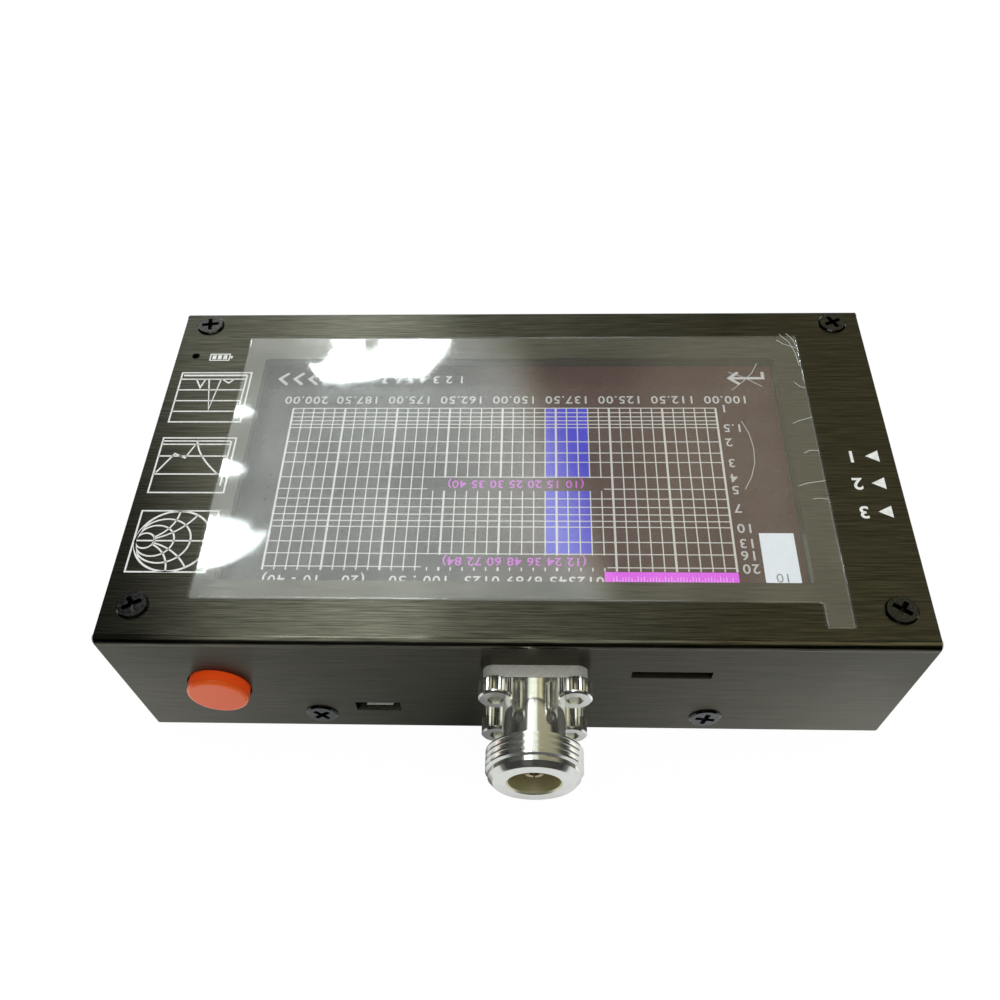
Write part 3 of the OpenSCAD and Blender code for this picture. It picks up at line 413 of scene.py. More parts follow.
# The slot of each CAD node, as in the record
SLOT_OF = {
    "top_shell": "case_sheet", "bottom_shell": "case_sheet", "protective_film": "film",
    "lid_screws": "black_steel", "case_screws": "black_steel", "case_nuts": "plated_steel",
    "standoffs": "brass", "board_screws": "plated_steel", "display_gasket": "foam",
    "touch_panel": "touch_glass", "display_frame": "tinned_steel", "display_panel": "display_glass",
    "display_tape": "tape", "display_flex": "flex_film", "flex_socket": "pale_plastic",
    "main_board": "green_board", "board_chips": "chip_epoxy", "charge_light": "lamp",
    "card_socket": "tinned_steel", "rf_board": "green_board", "rf_headers": "black_plastic",
    "rf_shield": "tinned_steel", "charger_board": "blue_board", "charger_posts": "brass",
    "charger_screws": "plated_steel", "charger_wires": "wire_red", "usb_socket": "tinned_steel",
    "battery": "pouch_foil", "battery_pad": "foam", "battery_lead": "wire_red",
    "battery_plug": "pale_plastic", "battery_socket": "pale_plastic", "port_body": "nickel",
    "port_insulator": "port_insulator", "port_contact": "gold_plate", "port_screws": "nickel",
    "port_nuts": "plated_steel", "power_switch": "black_plastic", "switch_spring": "plated_steel",
    "power_plunger": "pale_plastic", "power_cap": "cap_plastic",
}


def finish_nodes():
    """Every CAD node takes the material of its slot."""
    for name, obj in frame["nodes"].items():
        made = FINISHES[SLOT_OF[name]]
        for holder in obj.material_slots:
            holder.material = made
        if not obj.material_slots:
            obj.data.materials.append(made)


# ---------------------------------------------------------------- mesh helpers


def add_mesh(name, verts, faces, material, body="case", smooth=False):
    """A new piece from points in millimetres."""
    mesh = bpy.data.meshes.new(name)
    mesh.from_pydata([tuple(c * MM for c in v) for v in verts], [], faces)
    work = bmesh.new()
    work.from_mesh(mesh)
    bmesh.ops.recalc_face_normals(work, faces=work.faces)
    work.to_mesh(mesh)
    work.free()
    mesh.polygons.foreach_set("use_smooth", [smooth] * len(mesh.polygons))
    mesh.materials.append(material)
    obj = bpy.data.objects.new(name, mesh)
    bpy.context.scene.collection.objects.link(obj)
    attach(obj, body)
    return obj


class Flat:
    """Thin raised shapes on a level surface: boxes, outlines and strokes."""

    def __init__(self, z, thick):
        self.z, self.thick = z, thick
        self.verts, self.faces = [], []

    def outline(self, points):
        """A flat shape with the given outline."""
        n, base = len(points), len(self.verts)
        self.verts += [(x, y, self.z) for x, y in points]
        self.verts += [(x, y, self.z + self.thick) for x, y in points]
        self.faces.append([base + i for i in range(n)])
        self.faces.append([base + n + i for i in range(n)])
        for i in range(n):
            j = (i + 1) % n
            self.faces.append([base + i, base + j, base + n + j, base + n + i])

    def box(self, x0, y0, x1, y1):
        self.outline([(x0, y0), (x1, y0), (x1, y1), (x0, y1)])

    def stroke(self, points, width, closed=False):
        """A line of even width through the points, with mitred corners."""
        pts = [Vector(p) for p in points]
        n, base, half = len(pts), len(self.verts), width / 2
        for i, p in enumerate(pts):
            before = pts[i - 1] if i or closed else p * 2 - pts[i + 1]
            after = pts[(i + 1) % n] if i < n - 1 or closed else p * 2 - pts[i - 1]
            a, b = (p - before).normalized(), (after - p).normalized()
            side = Vector((-(a + b).y, (a + b).x)).normalized()
            reach = half / max(side.dot(Vector((-a.y, a.x))), 0.35)
            for s in (1, -1):
                q = p + side * reach * s
                self.verts += [(q.x, q.y, self.z), (q.x, q.y, self.z + self.thick)]
        count = n if closed else n - 1
        for i in range(count):
            a, b = base + 4 * i, base + 4 * ((i + 1) % n)
            self.faces += [[a, b, b + 1, a + 1], [a + 2, b + 2, b + 3, a + 3], [a, b, b + 2, a + 2],
                           [a + 1, b + 1, b + 3, a + 3]]
        if not closed:
            end = base + 4 * (n - 1)
            self.faces += [[base, base + 1, base + 3, base + 2], [end, end + 1, end + 3, end + 2]]

    def piece(self, name, material):
        """The new piece made of all shapes so far."""
        return add_mesh(name, self.verts, self.faces, material)


def arc(centre, radius, start, end, steps):
    """Points on an arc, angles in degrees."""
    out = []
    for i in range(steps + 1):
        a = math.radians(start + (end - start) * i / steps)
        out.append((centre[0] + radius * math.cos(a), centre[1] + radius * math.sin(a)))
    return out


def numbers(name, entries, size, z, material, thick=0.01, spacing=1.0, bold=0.0):
    """Plain numbers that face the far wall, so they stand on their heads for the camera."""
    made = []
    for i, (text, x, y, align) in enumerate(entries):
        curve = bpy.data.curves.new(f"{name}_{i}", "FONT")
        curve.body, curve.size = text, size * MM
        curve.align_x, curve.align_y = align, "CENTER"
        curve.extrude = thick / 2 * MM
        curve.space_character, curve.offset = spacing, bold * MM
        curve.resolution_u = 3
        obj = bpy.data.objects.new(f"{name}_{i}", curve)
        bpy.context.scene.collection.objects.link(obj)
        turn = Matrix.Rotation(math.pi, 4, "Z")
        obj.matrix_world = Matrix.Translation((x * MM, y * MM, (z + thick / 2) * MM)) @ turn
        made.append(obj)
    bpy.context.view_layer.update()
    joined = bmesh.new()
    shapes = bpy.context.evaluated_depsgraph_get()
    for obj in made:
        part = obj.evaluated_get(shapes).to_mesh()
        part.transform(obj.matrix_world)
        joined.from_mesh(part)
        obj.evaluated_get(shapes).to_mesh_clear()
        bpy.data.objects.remove(obj)
    mesh = bpy.data.meshes.new(name)
    joined.to_mesh(mesh)
    joined.free()
    mesh.materials.clear()
    mesh.materials.append(material)
    obj = bpy.data.objects.new(name, mesh)
    bpy.context.scene.collection.objects.link(obj)
    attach(obj, "case")
    return obj


# ---------------------------------------------------------------- the picture on the display

DOT = 0.198
GRAPH_LEFT, GRAPH_RIGHT = -42.14, 37.06
GRAPH_FAR, GRAPH_NEAR = 15.63, -21.46
GRAPH_RUNS_ON = 0.8
SCALE_TOP = 20
SCALE_LINES = (1, 1.1, 1.2, 1.3, 1.4, 1.5, 2, 2.5, 3, 4, 5, 6, 7, 8, 9, 10, 13, 16, 20)
SCALE_NUMBERS = ("1", "1.5", "2", "3", "4", "5", "7", "10", "13", "16", "20")
MINOR_STEP, MAJOR_EVERY, MINORS = 10 * DOT, 5, 40
BAND_FROM, BAND_TO = 24, 28
MAJOR_HALF, MINOR_HALF = 0.95 * DOT, 0.52 * DOT
NUMBERS_FROM, NUMBERS_STEP = 200, 12.5
NUMBERS_RIGHT, NUMBERS_OUT, SCALE_OUT = 2.2, 2.3, 0.9
ROW_NEAR, ROW_FAR = -24.2, 23.4
BAR_BOX, KEY_BOX = (15.2, -26.0, 37.2, -22.35), (41.5, -26.2, 47.3, -14.0)
MARKS_X, MARKS_STEP, MARK_W, MARKS_NEAR, MARKS_FAR = 16.6, 0.5, 0.14, -24.6, -24.4
SIGN_Y, SIGN_REACH, SIGN_LINE = 23.6, 1.6, 0.62
CHEVRONS_X, CHEVRON_STEP = -45.9, 2.9
NOTE_LEFT, NOTE_RIGHT = -15.4, 15.7
NOTES = ((-1.68, -4.75), (-18.95, -21.5))
PICTURE_NUMBER, NOTE_NUMBER, KEY_NUMBER = 2.75, 2.45, 2.6
NUMBER_SPACING, NOTE_SPACING, NUMBER_BOLD = 1.12, 1.06, 0.03
# Thickness of the picture's pieces, and how many times that each one lies above the panel
LAYER = 0.003
BAND_UP, KEYS_UP, LINES_UP, MARKS_UP, KEY_NUMBER_UP, LEVELS_UP = 0.6, 1, 2, 2.2, 2.4, 3.2


def scale_y(value):
    """The graph's scale runs by the logarithm from its far side to its near side."""
    return GRAPH_FAR + (GRAPH_NEAR - GRAPH_FAR) * math.log(value) / math.log(SCALE_TOP)


def spans(start, end, gaps):
    """What is left of a stretch, from high to low, after the gaps in it."""
    out, top = [], start
    for high, low in gaps:
        out.append((top, high))
        top = low
    out.append((top, end))
    return out


def graph_lines():
    """The grid: upright lines evenly spaced, level ones by the scale, with gaps for the notes."""
    lines = Flat(SCREEN + LINES_UP * LAYER, LAYER)
    near_end = GRAPH_NEAR - GRAPH_RUNS_ON
    for i in range(MINORS + 1):
        x = GRAPH_LEFT + i * MINOR_STEP
        half = MINOR_HALF if i % MAJOR_EVERY else MAJOR_HALF
        gaps = NOTES if NOTE_LEFT < x < NOTE_RIGHT else ()
        for high, low in spans(GRAPH_FAR, near_end, gaps):
            lines.box(x - half, low, x + half, high)
    lines.piece("picture_verticals", LINE_LIGHT)
    across = Flat(SCREEN + LEVELS_UP * LAYER, LAYER)
    whole = ((GRAPH_LEFT, GRAPH_RIGHT),)
    parted = ((GRAPH_LEFT, NOTE_LEFT), (NOTE_RIGHT, GRAPH_RIGHT))
    for value in SCALE_LINES:
        y = scale_y(value)
        cut = any(low < y < high for high, low in NOTES)
        for left, right in parted if cut else whole:
            across.box(left, y - MINOR_HALF, right, y + MINOR_HALF)
    across.piece("picture_levels", LINE_LIGHT)


def graph_band():
    """The blue band across a part of the graph."""
    band = Flat(SCREEN + BAND_UP * LAYER, LAYER)
    left, right = GRAPH_LEFT + BAND_FROM * MINOR_STEP, GRAPH_LEFT + BAND_TO * MINOR_STEP
    for high, low in spans(GRAPH_FAR, scale_y(16), NOTES[:1]):
        band.box(left, low, right, high)
    band.piece("picture_band", BAND_LIGHT)


def picture_numbers():
    """The scales' numbers, two rows of plain numbers and the two notes in the graph."""
    entries = []
    for i in range(MINORS // MAJOR_EVERY + 1):
        value = NUMBERS_FROM - NUMBERS_STEP * i
        x = GRAPH_LEFT + NUMBERS_RIGHT + i * MAJOR_EVERY * MINOR_STEP
        entries.append((f"{value:.2f}", x, GRAPH_FAR + NUMBERS_OUT, "CENTER"))
    for text in SCALE_NUMBERS:
        entries.append((text, GRAPH_RIGHT + SCALE_OUT, scale_y(float(text)), "RIGHT"))
    z = SCREEN + LINES_UP * LAYER
    numbers("picture_scale_numbers", entries, PICTURE_NUMBER, z, NUMBER_LIGHT, LAYER,
            NUMBER_SPACING, NUMBER_BOLD)
    row = [("10 - 40)", -37.0, ROW_NEAR, "CENTER"), ("(20", -26.5, ROW_NEAR, "CENTER"),
           ("100 : 50", -15.5, ROW_NEAR, "CENTER"), ("012345 6789 0123", 3.5, ROW_NEAR, "CENTER"),
           ("1 2 3 4 5 6 7", -18.0, ROW_FAR, "CENTER")]
    numbers("picture_row_numbers", row, PICTURE_NUMBER, z, LINE_LIGHT, LAYER,
            NUMBER_SPACING, NUMBER_BOLD)
    notes = [("(10 15 20 25 30 35 40)", 0.2, -3.1, "CENTER"),
             ("(12 24 36 48 60 72 84)", 0.2, -20.2, "CENTER")]
    numbers("picture_note_numbers", notes, NOTE_NUMBER, z, NOTE_LIGHT, LAYER,
            NOTE_SPACING, NUMBER_BOLD)


def picture_keys():
    """Touch keys as plain signs: three chevrons, a way-back arrow, a bar and a pale key."""
    high, low = SIGN_Y + SIGN_REACH, SIGN_Y - SIGN_REACH
    signs = Flat(SCREEN + LINES_UP * LAYER, LAYER)
    for i in range(3):
        x = CHEVRONS_X + CHEVRON_STEP * i
        signs.stroke([(x + SIGN_REACH, high), (x, SIGN_Y), (x + SIGN_REACH, low)], SIGN_LINE)
    signs.stroke([(42.2, high), (40.4, SIGN_Y), (42.2, low)], SIGN_LINE)
    signs.stroke([(40.6, SIGN_Y), (46.8, SIGN_Y), (46.8, 25.3)], SIGN_LINE)
    signs.piece("picture_signs", NUMBER_LIGHT)
    bar = Flat(SCREEN + KEYS_UP * LAYER, LAYER)
    bar.box(*BAR_BOX)
    bar.piece("picture_bar", BAR_LIGHT)
    marks = Flat(SCREEN + MARKS_UP * LAYER, LAYER)
    for i in range(40):
        x = MARKS_X + MARKS_STEP * i
        long = 0.9 + 0.5 * math.sin(2.1 * i) * math.sin(0.7 * i)
        marks.box(x, MARKS_NEAR, x + MARK_W, MARKS_FAR + long)
    marks.piece("picture_bar_marks", lit("picture_bar_marks", (0.95, 0.5, 1.0)))
    key = Flat(SCREEN + KEYS_UP * LAYER, LAYER)
    key.box(*KEY_BOX)
    key.piece("picture_key", KEY_LIGHT)
    numbers("picture_key_number", [("10", 44.5, -23.3, "CENTER")], KEY_NUMBER,
            SCREEN + KEY_NUMBER_UP * LAYER, DARK_LIGHT, LAYER)


# ---------------------------------------------------------------- print on the lid

PRINT_Z, PRINT_T = LID + 0.005, 0.015
LINE_W = 0.3
SIGN_LEFT, SIGN_RIGHT = -63.4, -50.15
SIGN_FARS = (21.46, 4.55, -12.45)
SIGN_D = 12.9
POINTERS_Y, POINTER_TIP, POINTER_BACK, POINTER_HALF = (0.35, -5.85, -12.1), 60.65, 62.95, 1.3
LID_NUMBERS_X, LID_NUMBER, LID_BOLD = 58.3, 3.6, 0.08
BATTERY_SIGN, BATTERY_LINE = (-58.9, 24.9, -55.2, 26.6), 0.26


def sign_frame(ink, far, double=True):
    """A square frame, with a second line inside its right side."""
    near = far - SIGN_D
    square = [(SIGN_LEFT, near), (SIGN_RIGHT, near), (SIGN_RIGHT, far), (SIGN_LEFT, far)]
    ink.stroke(square, LINE_W, closed=True)
    if double:
        ink.stroke([(SIGN_RIGHT - 0.75, far - 0.75), (SIGN_RIGHT - 0.95, near + 1.6)], LINE_W)


def sign_dips(far):
    """A level trace with three dips."""
    ink = Flat(PRINT_Z, PRINT_T)
    sign_frame(ink, far)
    inner = SIGN_RIGHT - 0.9
    ink.box(SIGN_LEFT + 0.4, far - 0.95, SIGN_RIGHT - 0.75, far - 0.5)
    for drop in (1.75, 4.6, 7.45, 10.2):
        ink.stroke([(SIGN_LEFT, far - drop), (inner, far - drop)], LINE_W)
    for dip in (((3.0, 1.75), (4.1, 4.0), (4.75, 1.75)), ((5.4, 1.75), (6.75, 9.7), (7.7, 1.75)),
                ((7.9, 1.75), (9.3, 2.8), (10.2, 1.75))):
        ink.stroke([(SIGN_LEFT + x, far - y) for x, y in dip], LINE_W)
    ink.piece("sign_dips", INK)


def sign_peak(far):
    """A trace that climbs to one peak and falls away in a curve."""
    ink = Flat(PRINT_Z, PRINT_T)
    sign_frame(ink, far)
    for drop in (0.75, 1.55, 4.4, 8.65):
        ink.stroke([(SIGN_LEFT, far - drop), (SIGN_RIGHT - 0.9, far - drop)], LINE_W)
    climb = [(0.4, 8.3), (2.85, 3.8), (4.85, 4.85), (6.45, 0.9)]
    steps = (0.04, 0.12, 0.25, 0.42, 0.6, 0.8, 1.0)
    fall = [(6.45 + 4.95 * t, 0.9 + 7.75 * t ** 0.62) for t in steps]
    ink.stroke([(SIGN_LEFT + x, far - y) for x, y in climb + fall], LINE_W)
    ink.piece("sign_peak", INK)


def sign_chart(far):
    """A round chart: circles that meet at the left, crossed by arcs and a middle line."""
    ink = Flat(PRINT_Z, PRINT_T)
    sign_frame(ink, far, double=False)
    radius = SIGN_D / 2 - 0.1
    left, mid = SIGN_LEFT + 0.3, far - SIGN_D / 2
    for share in (1.0, 0.73, 0.51, 0.25):
        r = radius * share
        width = LINE_W * (1.25 if share == 1 else 1)
        ink.stroke(arc((left + r, mid), r, 0, 354, 59), width, closed=True)
    ink.stroke([(left, mid), (left + 2 * radius, mid)], LINE_W)
    for share in (1.0, 1.72):
        r = radius * share
        inner = math.degrees(2 * math.atan(radius * 0.25 / r))
        outer = math.degrees(2 * math.atan(radius / r))
        for up in (1, -1):
            curve = arc((left, mid + up * r), r, up * (inner - 90), up * (outer - 90), 16)
            ink.stroke(curve, LINE_W)
    ink.piece("sign_chart", INK)


def lid_marks():
    """Three pointers with plain numbers at the right, and a battery sign by the charge light."""
    marks = Flat(PRINT_Z, PRINT_T)
    entries = []
    for i, y in enumerate(POINTERS_Y):
        marks.outline([(POINTER_TIP, y), (POINTER_BACK, y + POINTER_HALF),
                       (POINTER_BACK, y - POINTER_HALF)])
        entries.append((str(i + 1), LID_NUMBERS_X, y, "CENTER"))
    left, near, right, far = BATTERY_SIGN
    battery = [(left, far), (right, far), (right, near), (left, near)]
    marks.stroke(battery, BATTERY_LINE, closed=True)
    marks.box(-55.0, 25.4, -54.6, 26.1)
    for i in range(3):
        marks.box(-58.5 + 1.05 * i, 25.2, -57.75 + 1.05 * i, 26.3)
    marks.piece("lid_marks", INK)
    numbers("lid_numbers", entries, LID_NUMBER, PRINT_Z, INK, PRINT_T, bold=LID_BOLD)


# ---------------------------------------------------------------- protective film

FILM_LOW, FILM_HIGH = corners_mm("protective_film")
FILM_X0, FILM_X1 = FILM_LOW.x, FILM_HIGH.x
FILM_TAB_W, FILM_TAB_L = 4.7, 4.8
FILM_Y0, FILM_Y1 = FILM_LOW.y + FILM_TAB_L, FILM_HIGH.y
FILM_T = 0.1
FILM_STEP = 0.6
FILM_SEAT = 0.02
SWELL, SWELL_RISE = 0.05, 9


def ramp(t):
    """A soft step from 0 to 1 while t goes from 0 to 1."""
    t = min(max(t, 0.0), 1.0)
    return t * t * (3 - 2 * t)


def film_lift(x, y):
    """How far the film swells off the lid, in millimetres."""
    inside = min(x - FILM_X0, FILM_X1 - x, y - FILM_Y0, FILM_Y1 - y)
    waves = 0.5 + 0.5 * noise.noise(Vector((x * 0.035, y * 0.05, 3.1)))
    return ramp(inside / SWELL_RISE) * SWELL * waves


def film_sheet():
    """The clear film: one thin closed sheet with shallow swells and a pull tab."""
    nx = round((FILM_X1 - FILM_X0) / FILM_STEP)
    ny = round((FILM_Y1 - FILM_Y0) / FILM_STEP)
    verts, faces, index = [], [], {}
    tab_from = round((FILM_X1 - FILM_TAB_W - FILM_X0) / (FILM_X1 - FILM_X0) * nx)
    tab_rows = round(FILM_TAB_L / FILM_STEP)

    def point(i, j):
        x = FILM_X0 + (FILM_X1 - FILM_X0) * i / nx
        up = (FILM_Y1 - FILM_Y0) * j / ny if j >= 0 else FILM_TAB_L * j / tab_rows
        return x, FILM_Y0 + up

    for j in range(-tab_rows, ny + 1):
        for i in range(nx + 1):
            if j >= 0 or i >= tab_from:
                x, y = point(i, j)
                z = LID + FILM_SEAT + (film_lift(x, y) if j > 0 else 0.0)
                index[i, j] = len(verts)
                verts.append((x, y, z))
                verts.append((x, y, z + FILM_T))
    edges = {}
    for (i, j), a in index.items():
        ring = [(i, j), (i + 1, j), (i + 1, j + 1), (i, j + 1)]
        if all(k in index for k in ring):
            low = [index[k] for k in ring]
            faces.append(low[::-1])
            faces.append([v + 1 for v in low])
            for k in range(4):
                a, b = low[k], low[(k + 1) % 4]
                if (b, a) in edges:
                    del edges[b, a]
                else:
                    edges[a, b] = True
    for a, b in edges:
        faces.append([a, b, b + 1, a + 1])
    obj = add_mesh("film_sheet", verts, faces, FINISHES["film"], smooth=True)
    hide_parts("protective_film")
    return obj


# Fine creases and a scratch in the film, at its right border and far right corner and over the
# picture
CREASES = (
    ((49.3, 8.0), (50.4, 8.7), (52.9, 9.6)),
    ((48.3, -6.6), (49.8, -6.0), (52.9, -5.4)),
    ((50.2, -9.5), (51.4, -9.3), (52.9, -9.6)),
    ((49.2, 30.0), (50.4, 28.9), (52.9, 27.6)),
    ((50.0, 31.6), (51.5, 29.4), (52.3, 26.4), (52.6, 22.9)),
    ((51.3, 31.8), (52.3, 30.2), (52.8, 28.0)),
    ((51.0, 18.6), (51.9, 17.4), (52.9, 17.0)),
    ((50.3, 0.9), (51.3, 1.6), (52.9, 1.5)),
    ((39.4, 16.4), (42.0, 19.0), (43.6, 21.0), (44.8, 23.6)),
    ((39.2, 21.2), (41.8, 19.9), (45.0, 17.4)),
    ((40.3, 8.6), (41.3, 5.6), (41.7, 2.2), (41.5, -1.4), (40.6, -4.6), (39.2, -7.4)),
)
CREASE_W, CREASE_H = 0.15, 0.015
CREASE = moulded("film_crease", (0.85, 0.86, 0.82), 0.4, 0.00001, 1500, Alpha=0.36)


def film_creases():
    """Low ridges along the creases, on the film."""
    ridges = Flat(0, CREASE_H)
    for line in CREASES:
        ridges.stroke(line, CREASE_W)
    top = LID + FILM_SEAT + FILM_T
    verts = [(x, y, z + top + film_lift(x, y)) for x, y, z in ridges.verts]
    obj = add_mesh("film_creases", verts, ridges.faces, CREASE)
    return obj


# ---------------------------------------------------------------- return spring of the button


def switch_coil():
    """A coil of three turns between the cap and the switch."""
    axis_x = (SPRING_LOW.x + SPRING_HIGH.x) / 2
    axis_z = (SPRING_LOW.z + SPRING_HIGH.z) / 2
    wire, turns, sides, rings = 0.2, 3.0, 8, 72
    radius = (SPRING_HIGH.x - SPRING_LOW.x) / 2 - wire
    start, length = SPRING_LOW.y + wire, SPRING_HIGH.y - SPRING_LOW.y - 2 * wire
    verts, faces = [], []
    for i in range(rings + 1):
        t = i / rings
        a = 2 * math.pi * turns * t
        out = Vector((math.cos(a), 0, math.sin(a)))
        centre = Vector((axis_x, start + length * t, axis_z)) + out * radius
        for k in range(sides):
            b = 2 * math.pi * k / sides
            along = Vector((0, wire * math.sin(b), 0))
            verts.append(tuple(centre + out * wire * math.cos(b) + along))
    for i in range(rings):
        for k in range(sides):
            a, b = i * sides + k, i * sides + (k + 1) % sides
            faces.append([a, b, b + sides, a + sides])
    faces.append(list(range(sides)))
    faces.append([rings * sides + k for k in range(sides)])
    obj = add_mesh("switch_coil", verts, faces, FINISHES["plated_steel"], smooth=True)
    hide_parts("switch_spring")
    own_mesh(obj)
    return obj


# ---------------------------------------------------------------- stage, camera and light

# The camera, solved from the photograph
EYE = Vector((2.66, -107.86, 137.73)) * MM
AIM = Vector((-2.43, -33.3, 0)) * MM
ROLL = math.radians(-2.82)
LENS, SENSOR = 30.35, 36.0
RISE = 0.2
SEEN_FROM, SEEN_TO = 0.005, 20


def camera():
    """The camera of the photograph."""
    data = bpy.data.cameras.new("camera")
    data.lens, data.sensor_width, data.shift_y = LENS, SENSOR, RISE
    data.clip_start, data.clip_end = SEEN_FROM, SEEN_TO
    obj = bpy.data.objects.new("camera", data)
    bpy.context.scene.collection.objects.link(obj)
    turn = (EYE - AIM).to_track_quat("Z", "Y").to_matrix().to_4x4()
    obj.matrix_world = Matrix.Translation(EYE) @ turn @ Matrix.Rotation(ROLL, 4, "Z")
    bpy.context.scene.camera = obj


class StageTree(Nodes):
    """Short ways to build the node trees of the floor and the world."""

    def slope(self, value, start, end, low, high):
        """Low up to start, high from end on, and a soft slope between them."""
        made = self.node("ShaderNodeMapRange", interpolation_type="SMOOTHSTEP")
        ends = {"From Min": start, "From Max": end, "To Min": low, "To Max": high}
        for socket, number in ends.items():
            made.inputs[socket].default_value = number
        self.link(value, made.inputs["Value"])
        return made.outputs["Result"]

    def blend(self, share, a, b):
        """Shader a and shader b; share is how much of b."""
        made = self.node("ShaderNodeMixShader")
        for socket, output in zip(made.inputs, (share, a, b)):
            self.link(output, socket)
        return made.outputs["Shader"]

    def coords(self, output):
        """The x, y and z of object or world coordinates."""
        return self.split(self.node("ShaderNodeTexCoord").outputs[output])


# How bright the floor shows in shiny walls: beside the port, at the case's ends, further out and
# far out; and where it changes, in millimetres. The dimness beside the port is a painted shadow of
# the port and camera.
FLOOR_BY_PORT, FLOOR_AT_ENDS, FLOOR_OUT, FLOOR_FAR = 0.14, 1.75, 0.8, 0.1
FLOOR_TINT = (0.97, 1.0, 1.03)
FLOOR_MIDDLE, FLOOR_END = -8, 75
FLOOR_NEAR_Y, FLOOR_FAR_Y = (-62, -54), (-150, -90)
FLOOR_WHITENED, FLOOR_WHITE, FLOOR_REACH = 0.95, 1.02, 4.0


def floor():
    """A pale level sheet, evenly white for the camera; for what shines, darker by the port as a
    painted shadow.
    """
    mesh = bpy.data.meshes.new("floor")
    square = ((-1, -1), (1, -1), (1, 1), (-1, 1))
    corners = [(FLOOR_REACH * x, FLOOR_REACH * y, 0) for x, y in square]
    mesh.from_pydata(corners, [], [(0, 1, 2, 3)])
    obj = bpy.data.objects.new("floor", mesh)
    bpy.context.scene.collection.objects.link(obj)
    made = Finish("floor", (0.9, 0.9, 0.9), roughness=0.9)
    paper = made.grain(40, 2.0)
    made.tint(made.spread(paper, 0, 1), (0.93, 0.93, 0.93), (0.95, 0.95, 0.95))
    stage = StageTree(made.tree)
    x, y, _ = stage.coords("Object")
    aside = stage.math("ABSOLUTE", stage.math("SUBTRACT", x, FLOOR_MIDDLE * MM))
    beside = made.spread(aside, FLOOR_BY_PORT, FLOOR_AT_ENDS, 0, FLOOR_END * MM)
    near = stage.slope(y, *[edge * MM for edge in FLOOR_NEAR_Y], 0.0, 1.0)
    out = stage.slope(y, *[edge * MM for edge in FLOOR_FAR_Y], FLOOR_FAR, FLOOR_OUT)
    shine = stage.mix("FLOAT", near, out, beside)
    white, mirrored = stage.node("ShaderNodeEmission"), stage.node("ShaderNodeEmission")
    white.inputs["Strength"].default_value = FLOOR_WHITE
    stage.feed(mirrored.inputs["Color"], FLOOR_TINT)
    made.link(shine, mirrored.inputs["Strength"])
    path = stage.node("ShaderNodeLightPath")
    whiten = stage.math("MULTIPLY", path.outputs["Is Camera Ray"], FLOOR_WHITENED)
    seen = stage.blend(whiten, made.shader.outputs["BSDF"], white.outputs["Emission"])
    seen = stage.blend(path.outputs["Is Glossy Ray"], seen, mirrored.outputs["Emission"])
    output = made.tree.nodes["Material Output"]
    made.link(seen, output.inputs["Surface"])
    mesh.materials.append(made.material)


# Lamps overhead, as the film would show them if it were level: how bright they are, and their
# outlines on the lid
LAMP_HEIGHT = 0.6
LAMP_TINT = (0.92, 1.0, 1.03)
LAMPS = {
    "lamp_behind": (25, [(-39.9, 25.6), (-38.2, 21.8), (-36.4, 19.6), (-33.4, 18.8), (-29.0, 19.4),
                         (-24.6, 20.6), (-17.0, 21.2), (-14.9, 25.6), (-12.8, 31.9), (-26.0, 31.9),
                         (-26.4, 29.6), (-27.9, 27.2), (-29.3, 28.2), (-30.0, 31.9), (-34.8, 31.9),
                         (-35.8, 28.2), (-37.0, 25.4), (-38.6, 24.6)]),
    "lamp_far": (8, [(-44, 33), (-14, 33), (-14, 47), (-45, 47)]),
    "lamp_near": (8, [(-34, -46), (-12, -46), (-12, -66), (-36, -66)]),
    "lamp_left_far": (10, [(-53.0, 12.9), (-50.6, 12.7), (-49.4, 12.0), (-48.4, 11.1),
                           (-49.8, 10.0), (-53.0, 9.7)]),
    "lamp_left_middle": (10, [(-53.0, -0.2), (-50.8, -0.6), (-48.9, -1.6), (-47.7, -2.9),
                              (-49.2, -4.1), (-53.0, -4.7)]),
    "lamp_left_near": (10, [(-53.0, -13.0), (-48.0, -14.0), (-44.9, -14.9), (-44.3, -16.6),
                            (-42.9, -16.9), (-40.9, -16.3), (-42.3, -19.2), (-44.6, -21.3),
                            (-48.0, -23.3), (-53.0, -25.2)]),
}


def lamp_overhead(name, strength, outline):
    """A level lamp whose mirror image in the level film has the given outline."""
    corners = []
    for x, y in outline:
        spot = Vector((x, y, LID)) * MM
        ray = (spot - EYE).normalized()
        ray.z = -ray.z
        corners.append(spot + ray * ((LAMP_HEIGHT - spot.z) / ray.z))
    mesh = bpy.data.meshes.new(name)
    mesh.from_pydata(corners, [], [list(range(len(corners)))])
    made = bpy.data.materials.new(name)
    made.use_nodes = True
    glow = made.node_tree.nodes.new("ShaderNodeEmission")
    glow.inputs["Color"].default_value = (*LAMP_TINT, 1)
    glow.inputs["Strength"].default_value = strength
    output = made.node_tree.nodes["Material Output"]
    made.node_tree.links.new(glow.outputs["Emission"], output.inputs["Surface"])
    mesh.materials.append(made)
    obj = bpy.data.objects.new(name, mesh)
    obj.visible_camera = False
    bpy.context.scene.collection.objects.link(obj)


SOFTBOX_AT, SOFTBOX_SIZE, SOFTBOX_GLOW = Vector((0.5, -0.7, 0.8)), 0.35, 5.0


def softbox():
    """A soft light from the right in front, aimed at the middle and not mirrored by what shines."""
    data = bpy.data.lights.new("softbox_front", "AREA")
    data.shape, data.size = "SQUARE", SOFTBOX_SIZE
    data.energy = SOFTBOX_GLOW * math.pi * SOFTBOX_SIZE * SOFTBOX_SIZE
    obj = bpy.data.objects.new("softbox_front", data)
    obj.visible_camera = obj.visible_glossy = False
    bpy.context.scene.collection.objects.link(obj)
    turn = SOFTBOX_AT.to_track_quat("Z", "Y").to_matrix().to_4x4()
    obj.matrix_world = Matrix.Translation(SOFTBOX_AT) @ turn


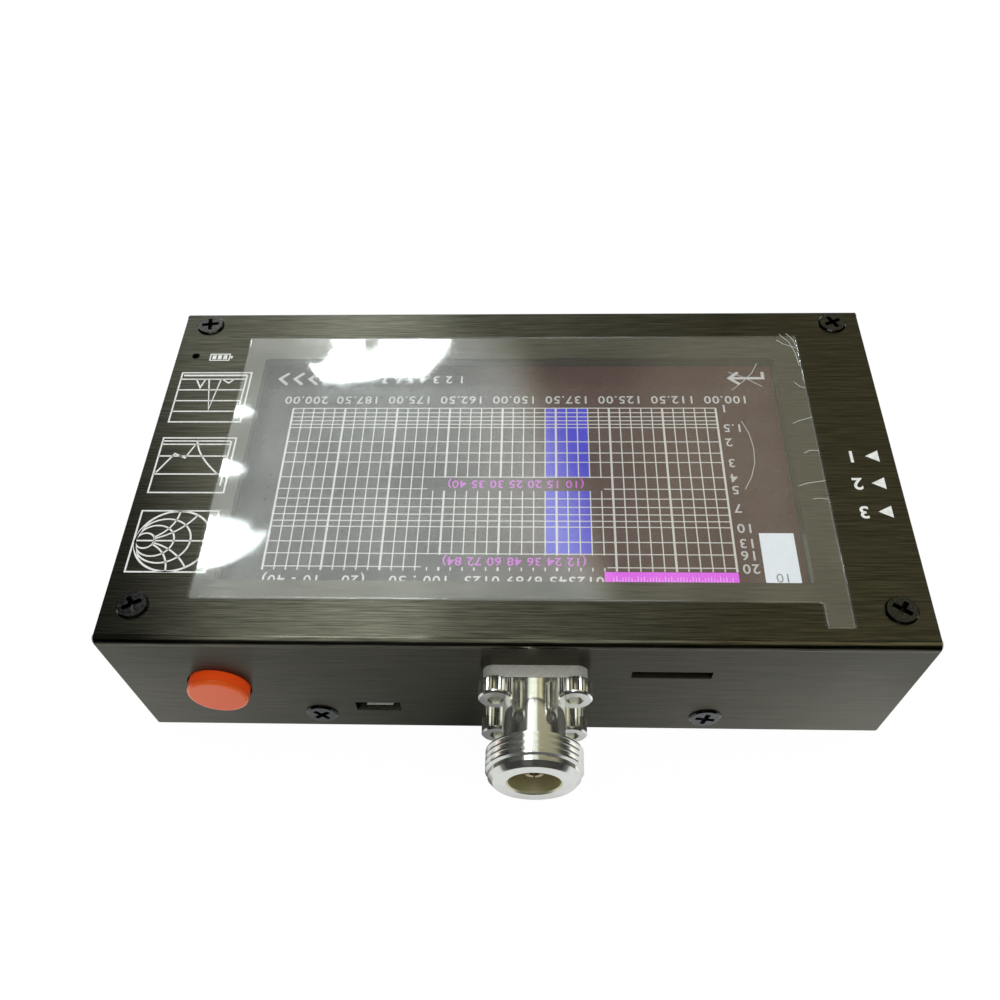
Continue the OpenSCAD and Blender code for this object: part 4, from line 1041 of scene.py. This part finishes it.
# What shines sees a pale room at the left and a dimmer brown one at the right, parted by a leaning
# edge, next to which the right one is dimmest. It is dark at the far left, low down and in front,
# but for a bright strip high up in front. A pair of numbers says where in the world a slope starts
# and ends.
ROOM_LEFT, ROOM_RIGHT = (0.95, 1.0, 0.96), (1.0, 0.95, 0.66)
ROOM_LEFT_GLOW, ROOM_RIGHT_GLOW, ROOM_DIP_GLOW = 1.38, 0.46, 0.25
EDGE, EDGE_LEAN, DIP = (-0.435, -0.365), 0.6, (0.08, 0.2)
STRIP_UP, STRIP_BACK, STRIP_RIGHT = (0.74, 0.82), (0.15, 0.25), (0.15, 0.33)
STRIP_GLOW_LEFT, STRIP_GLOW_RIGHT = 1.1, 2.4
ROOM_DARK, DARK_LEFT, DARK_LOW, DARK_FRONT = 0.06, (-0.43, -0.34), (0.25, 0.6), (0.3, 0.5)
EVEN_GLOW = 0.95


def world():
    """Even light for matt surfaces, and the room for what shines."""
    made = bpy.data.worlds.new("studio")
    made.use_nodes = True
    made.node_tree.nodes.clear()
    stage = StageTree(made.node_tree)
    x, y, z = stage.coords("Generated")
    leaning = stage.math("SUBTRACT", x, stage.math("MULTIPLY", z, EDGE_LEAN))
    to_right = stage.slope(leaning, *EDGE, 0.0, 1.0)
    right = stage.slope(x, *DIP, ROOM_DIP_GLOW, ROOM_RIGHT_GLOW)
    glow = stage.mix("FLOAT", to_right, ROOM_LEFT_GLOW, right)
    strip = stage.slope(x, *STRIP_RIGHT, STRIP_GLOW_LEFT, STRIP_GLOW_RIGHT)
    strip = stage.math("MULTIPLY", strip, stage.slope(z, *STRIP_UP, 0.0, 1.0))
    strip = stage.math("MULTIPLY", strip, stage.slope(y, *STRIP_BACK, 1.0, 0.0))
    in_front = stage.math("MAXIMUM", stage.slope(y, *DARK_FRONT, ROOM_DARK, 1.0), strip)
    at_left = stage.slope(x, *DARK_LEFT, ROOM_DARK, 1.0)
    low_down = stage.slope(z, *DARK_LOW, ROOM_DARK, 1.0)
    for part in (in_front, at_left, low_down):
        glow = stage.math("MULTIPLY", glow, part)
    room, even = stage.node("ShaderNodeBackground"), stage.node("ShaderNodeBackground")
    stage.feed(room.inputs["Color"], stage.mix("RGBA", to_right, ROOM_LEFT, ROOM_RIGHT))
    stage.feed(room.inputs["Strength"], glow)
    stage.feed(even.inputs["Strength"], EVEN_GLOW)
    path = stage.node("ShaderNodeLightPath")
    matt, shiny = even.outputs["Background"], room.outputs["Background"]
    seen = stage.blend(path.outputs["Is Glossy Ray"], matt, shiny)
    output = stage.node("ShaderNodeOutputWorld")
    stage.link(seen, output.inputs["Surface"])
    bpy.context.scene.world = made


# ---------------------------------------------------------------- everything together

finish_nodes()
graph_lines()
graph_band()
picture_numbers()
picture_keys()
for draw, far in zip((sign_dips, sign_peak, sign_chart), SIGN_FARS):
    draw(far)
lid_marks()
film_sheet()
film_creases()
switch_coil()
camera()
floor()
world()
for name, (strength, outline) in LAMPS.items():
    lamp_overhead(name, strength, outline)
softbox()
bpy.context.scene.view_settings.view_transform = "Standard"
